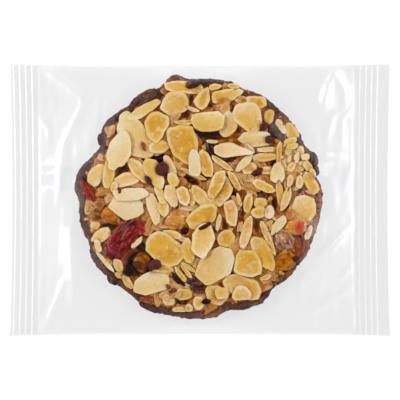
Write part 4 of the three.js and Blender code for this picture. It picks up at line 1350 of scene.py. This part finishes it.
scatter = scatter_tree("scatter_chips")
almond_chips = chip_material("chopped_almond", rgb(160, 80, 4), rgb(228, 164, 52), 0.1)
grow("almond_chips", almond_ground, scatter, "toasted_almond", **{
    "Per square metre": 1.2e5, "Smallest": 0.5 * MM, "Largest": 1.3 * MM,
    "Roughness of form": 0.9, "Seed": 5, "Material": almond_chips,
})
caramel_drops = chip_material("caramel_drops", rgb(104, 48, 16), rgb(190, 120, 52), 0.4)
grow("caramel_crumbs", caramel_ground, scatter, "caramel", **{
    "Per square metre": 1.2e5, "Smallest": 0.35 * MM, "Largest": 0.8 * MM,
    "Roughness of form": 0.5, "Seed": 9, "Material": caramel_drops,
})
for ground in (almond_ground, caramel_ground):
    bpy.data.objects.remove(ground, do_unlink=True)

# %% [markdown]
# ## The film
# The film is one closed envelope: a top sheet and a bottom sheet that meet at the side folds and in
# the end seals. Tight film behaves like a stretched skin, so the top sheet starts flat and is relaxed:
# again and again each point moves to the mean of its neighbours and is held up by what is under it.
# The folds that the packing machine leaves are then added along their own lines.

# %% Lines of the film's grid
# The step of the lines between the seals, how many lines the seals and the width have, and how far from
# the middle the sheets begin to bow
OPEN_STEP = 0.75
LEFT_LINES, RIGHT_LINES, CROSS_LINES = 28, 36, 135
BOW_BEGINS = 45
half_length = PACKET_LENGTH / 2
open_x = np.linspace(*SEAL_INNER, round((SEAL_INNER[1] - SEAL_INNER[0]) / OPEN_STEP) + 1)
left_x = np.linspace(-half_length, SEAL_INNER[0], LEFT_LINES, endpoint=False)
right_x = np.linspace(SEAL_INNER[1], half_length, RIGHT_LINES + 1)[1:]
line_x = np.concatenate([left_x, open_x, right_x])
GRID_U, GRID_V = np.meshgrid(line_x, np.linspace(-1, 1, CROSS_LINES), indexing="ij")
end_share = smoothstep(np.abs(GRID_U), BOW_BEGINS, half_length)
FILM_X = GRID_U - np.sign(GRID_U) * END_BOW * end_share * (1 - GRID_V**2)
FILM_Y = GRID_V * half_width(FILM_X)
in_open = (GRID_U > SEAL_INNER[0]) & (GRID_U < SEAL_INNER[1])
print("film grid:", FILM_X.shape)


# %% The top sheet, relaxed over the cookie
# How far the film lies above what holds it up, and above the height of its own edge
FILM_GAP, EDGE_GAP = 0.1, 0.04

# The film spans small gaps, so what holds it up is widened by some cells and then blurred
WIDER_BY, BLUR_ROUNDS = 6, 24
RELAX_ROUNDS = 1500


def blurred(field, rounds):
    """A map whose every cell has been averaged with its neighbours."""
    rows, columns = field.shape
    for _ in range(rounds):
        padded = np.pad(field, 1, mode="edge")
        field = sum(padded[i:i + rows, j:j + columns] for i in range(3) for j in range(3)) / 9
    return field


def tops_of_contents():
    """The highest point of everything in the packet, cell by cell."""
    tops = np.zeros_like(heights)
    for piece in CONTENTS:
        flat = np.empty(3 * len(piece.data.vertices))
        piece.data.vertices.foreach_get("co", flat)
        points = flat.reshape(-1, 3) / MM
        cells = np.round((points[:, :2] + MAP_HALF) / CELL).astype(int).clip(0, len(tops) - 1)
        np.maximum.at(tops, (cells[:, 0], cells[:, 1]), points[:, 2])
    return tops


near_cookie = (np.abs(FILM_X) < MAP_HALF) & (np.abs(FILM_Y) < MAP_HALF)
rest_on = blurred(widened(tops_of_contents(), WIDER_BY), BLUR_ROUNDS)
held_up = np.where(near_cookie, map_value(rest_on, FILM_X, FILM_Y) + FILM_GAP, 0.0)
angle, radius = polar(FILM_X, FILM_Y)
edge_z = edge_height(FILM_X, FILM_Y)
top_z = np.where(in_open, np.maximum(edge_z + EDGE_GAP, held_up), edge_z + EDGE_GAP)
free = in_open.copy()
free[:, (0, -1)] = False
for _ in range(RELAX_ROUNDS):
    mean = sum(np.roll(top_z, step, axis) for axis in (0, 1) for step in (1, -1)) / 4
    top_z = np.where(free, np.maximum(mean, held_up), top_z)
print("highest film:", top_z.max().round(2), "mm")

# %% [markdown]
# The folds are where the machine and the hand have creased the film. Each row gives the height and half
# width of one, then x and y along it. The seals carry wide ribs with fine crimps between them, which
# jaws press into both sheets.

# %% Folds and ribs
FOLDS = (
    (0.9, 1.6, (-58, 49, -43.5, 38.3, -43, 34)), (0.5, 1.2, (-43, 35, -50, 20, -51.6, 0)),
    (0.4, 0.9, (-59, 30, -55.3, 26, -55.6, 20)), (0.35, 0.8, (-58.5, 12.9, -50.5, 12.9)),
    (0.25, 0.8, (-58.5, 9.2, -51.5, 9.2)), (0.3, 0.8, (-58.5, 3.7, -50.5, 3.7)),
    (0.5, 1.2, (-49, -28, -57.8, -49.7)), (1.2, 3.4, (-47.5, -9, -46, -38)),
    (1.1, 1.6, (43.8, 32.4, 47, 42, 49.5, 49)), (1.0, 2.2, (49, 48, 52.8, 39.8, 53.0, 34.3)),
    (1.1, 3.4, (46.5, 44, 46, 31)), (0.6, 1.2, (53.4, 34.3, 47.9, 29.5, 46.1, 21)),
    (0.5, 1.0, (56, 33.9, 51.9, 29.5, 51.9, 20.3)), (0.3, 0.7, (45, 19.5, 54, 19.5)),
    (0.3, 0.7, (45, 15.5, 54, 15.7)), (0.4, 1.0, (52, 2.5, 56, 12.9)),
    (0.7, 1.3, (55.6, -8.8, 43.5, -20.3)), (0.4, 1.0, (56, -24, 50.5, -29.8)),
    (0.8, 1.3, (55, -33.2, 39, -41.6)), (0.5, 1.5, (56.4, -38, 56.4, -49)),
)


def fold_lift(x, y):
    """How far the folds raise the film: a sharp crest along each line that tapers at both ends."""
    lift = np.zeros_like(x)
    for height, half, line in FOLDS:
        stations = np.array(line, dtype=float).reshape(-1, 2)
        lengths = np.linalg.norm(np.diff(stations, axis=0), axis=1)
        start = 0.0
        ridge = np.zeros_like(x)
        for (ax, ay), (bx, by), length in zip(stations, stations[1:], lengths):
            share = np.clip(((x - ax) * (bx - ax) + (y - ay) * (by - ay)) / length**2, 0, 1)
            away = np.hypot(x - ax - share * (bx - ax), y - ay - share * (by - ay))
            along = (start + share * length) / lengths.sum()
            taper = np.sqrt(np.clip(np.sin(math.pi * np.clip(along, 0.02, 0.98)), 0, 1))
            ridge = np.maximum(ridge, height * taper * np.exp(-((away / half) ** 1.4)))
            start += length
        lift += ridge
    return lift


def rib_lift(x):
    """The main ribs of both seals, and fine crimps between them."""
    lift = CRIMP_DEPTH * (1 + np.cos(2 * math.pi * x / CRIMP_PITCH)) * ~in_open
    for rib in RIBS:
        lift = np.maximum(lift, RIB_HEIGHT * np.exp(-(((x - rib) / RIB_HALF_WIDTH) ** 2)))
    return lift


print("folds:", len(FOLDS), "ribs:", len(RIBS))

# %% [markdown]
# Besides its folds, tight film has soft puffs along its edges and long shallow streaks across it. They
# fade over the cookie, where the nuts hold the film up, and in the seals.

# %% The finished top sheet
# How high the puffs are and how soon they rise, how high the streaks are, and how wide along x, y and z
PUFF_HEIGHT, PUFF_SPREAD = 0.2, 1.5
CRINKLE_HEIGHT = 0.12
STREAK = np.array((2.4, 9.0, 1.0))

# How far the film stays under the packet's highest point
UNDER_LID = 0.02
ribs = rib_lift(GRID_U)
inward = np.minimum(half_width(FILM_X) - np.abs(FILM_Y), 6)
puff = np.where(in_open, PUFF_HEIGHT * (1 - np.exp(-inward / PUFF_SPREAD)), 0)
soft = smoothstep(inward, 0, 2.0) * np.where(in_open, 1, 0.25)
flat = np.stack([FILM_X, FILM_Y, 0 * FILM_X], axis=-1).reshape(-1, 3)
streaks = bumps(flat / STREAK, 1.0, 8.1).reshape(FILM_X.shape)
crinkle = CRINKLE_HEIGHT * bumps(flat, 7.0, 4.4).reshape(FILM_X.shape) + CRINKLE_HEIGHT * streaks
off_cookie = smoothstep(radius - rim_radius(angle), -1, 4)
top_z += (fold_lift(FILM_X, FILM_Y) + crinkle * off_cookie) * soft + puff * off_cookie
top_z = np.minimum(np.maximum(top_z, held_up), PACKET_HEIGHT - UNDER_LID) + ribs

# %% [markdown]
# The bottom sheet lies flat on the table under the cookie and rises to the edges beyond it. Over the back
# seam it makes room for the flap. Both sheets and the wall round them are one closed form.

# %% The bottom sheet and the envelope
# The room for the seam and how softly it begins, the gap under the film, and the least between the sheets
SEAM_ROOM, SEAM_BLEND = 0.3, 1.5
TABLE_GAP, THINNEST = 0.03, 0.08

# The wider the film is on one side of the cookie, the later it rises there
RISE_SPREAD = 28


def to_border(border, direction):
    """How far away a border is along a ray. Direction is the part of the ray that points at it."""
    return np.abs(border / np.where(np.abs(direction) < 1e-6, 1e-6, direction))


def under_film(x, y):
    """The bottom sheet: flat on the table under the cookie, and rising to the edges beyond it."""
    angle, radius = polar(x, y)
    end = np.where(np.cos(angle) > 0, SEAL_INNER[1], SEAL_INNER[0]) - COOKIE[0]
    side = np.sign(np.sin(angle)) * half_width(x) - COOKIE[1]
    reach = np.minimum(to_border(end, np.cos(angle)), to_border(side, np.sin(angle)))
    share = np.clip((radius - FLAT_RADIUS) / np.maximum(reach - FLAT_RADIUS, 1), 0, 1)
    rising = share ** (1 + (reach - FLAT_RADIUS) / RISE_SPREAD) * edge_height(x, y)
    return np.minimum(rising, edge_height(x, y))


before_seam = 1 - smoothstep(FILM_Y, SEAM_Y[1], SEAM_Y[1] + SEAM_BLEND)
over_seam = smoothstep(FILM_Y, SEAM_Y[0] - SEAM_BLEND, SEAM_Y[0]) * before_seam
bottom_z = np.where(in_open, under_film(FILM_X, FILM_Y), edge_z)
bottom_z = bottom_z - EDGE_GAP * smoothstep(bottom_z, 0.1, 1.0) + ribs
bottom_z = np.maximum(bottom_z, TABLE_GAP + (SEAM_ROOM + 0.04) * over_seam)
bottom_z = np.minimum(bottom_z, top_z - THINNEST)
film_points, film_faces = double_sheet(FILM_X, FILM_Y, top_z, bottom_z)
print("thinnest gap between the sheets:", (top_z - bottom_z).min().round(2), "mm")

# %% [markdown]
# Clear film lets nearly all light through and mirrors the rest, more of it at a slant. So the material
# is a Transparent shader with a faint tint, mixed with a Glossy one by how slanted the film is seen.
# There is no refraction, because film this thin doesn't bend what is behind it.

# %% Film material
def film_material(name, clear, mirrored):
    recipe = Recipe(name)
    recipe.nodes.remove(recipe.shader)
    normal = recipe.bump(recipe.noise(4.0, 3), 0.08, 0.3)
    see_through = recipe.node("ShaderNodeBsdfTransparent", None, {"Color": (clear, clear, clear * 1.004)})
    gloss = {"Color": (1.0, 1.0, 1.0), "Roughness": 0.16, "Normal": normal}
    mirror = recipe.node("ShaderNodeBsdfAnisotropic", None, gloss)
    slant = recipe.node("ShaderNodeLayerWeight", None, {"Blend": 0.5, "Normal": normal}, "Facing")
    share = (mirrored + (1 - mirrored) * slant**5) * (1 + 0.4 * recipe.attribute("seal"))
    sheet = recipe.node("ShaderNodeMixShader", None, {0: share, 1: see_through, 2: mirror})
    recipe.feed(recipe.nodes["Material Output"].inputs["Surface"], sheet)
    return recipe.material


# %% Film
clear_film = film_material("clear_film", 0.955, 0.06)
sealed = np.tile(np.where(in_open, 0.0, 1.0).ravel(), 2)
film = make_piece("film", film_points, film_faces, clear_film, {"seal": sealed}, "clear_film")
wall_faces = 2 * sum(FILM_X.shape) - 4
for polygon in film.data.polygons[-wall_faces:]:
    polygon.use_smooth = False

# %% [markdown]
# ## The back seam
# The tube is closed by a flap that is welded between two wheels and folded flat under the packet. From
# below it shows as a long strip between the seals. Like the envelope, it is two sheets with a wall.

# %% Back seam
SEAM_THICKNESS = 0.18
SEAM_COLUMNS, SEAM_ROWS = 96, 10
seam_x, seam_y = np.meshgrid(
    np.linspace(*SEAL_INNER, SEAM_COLUMNS), np.linspace(*SEAM_Y, SEAM_ROWS), indexing="ij")
ceiling = under_film(seam_x, seam_y) - EDGE_GAP - TABLE_GAP
seam_top = np.maximum(ceiling, 0.02 + SEAM_ROOM)
seam_points, seam_faces = double_sheet(seam_x, seam_y, seam_top, seam_top - SEAM_THICKNESS)
seam_film = film_material("seam_film", 0.996, 0.01)
make_piece("back_seam", seam_points, seam_faces, seam_film, {}, "clear_film")
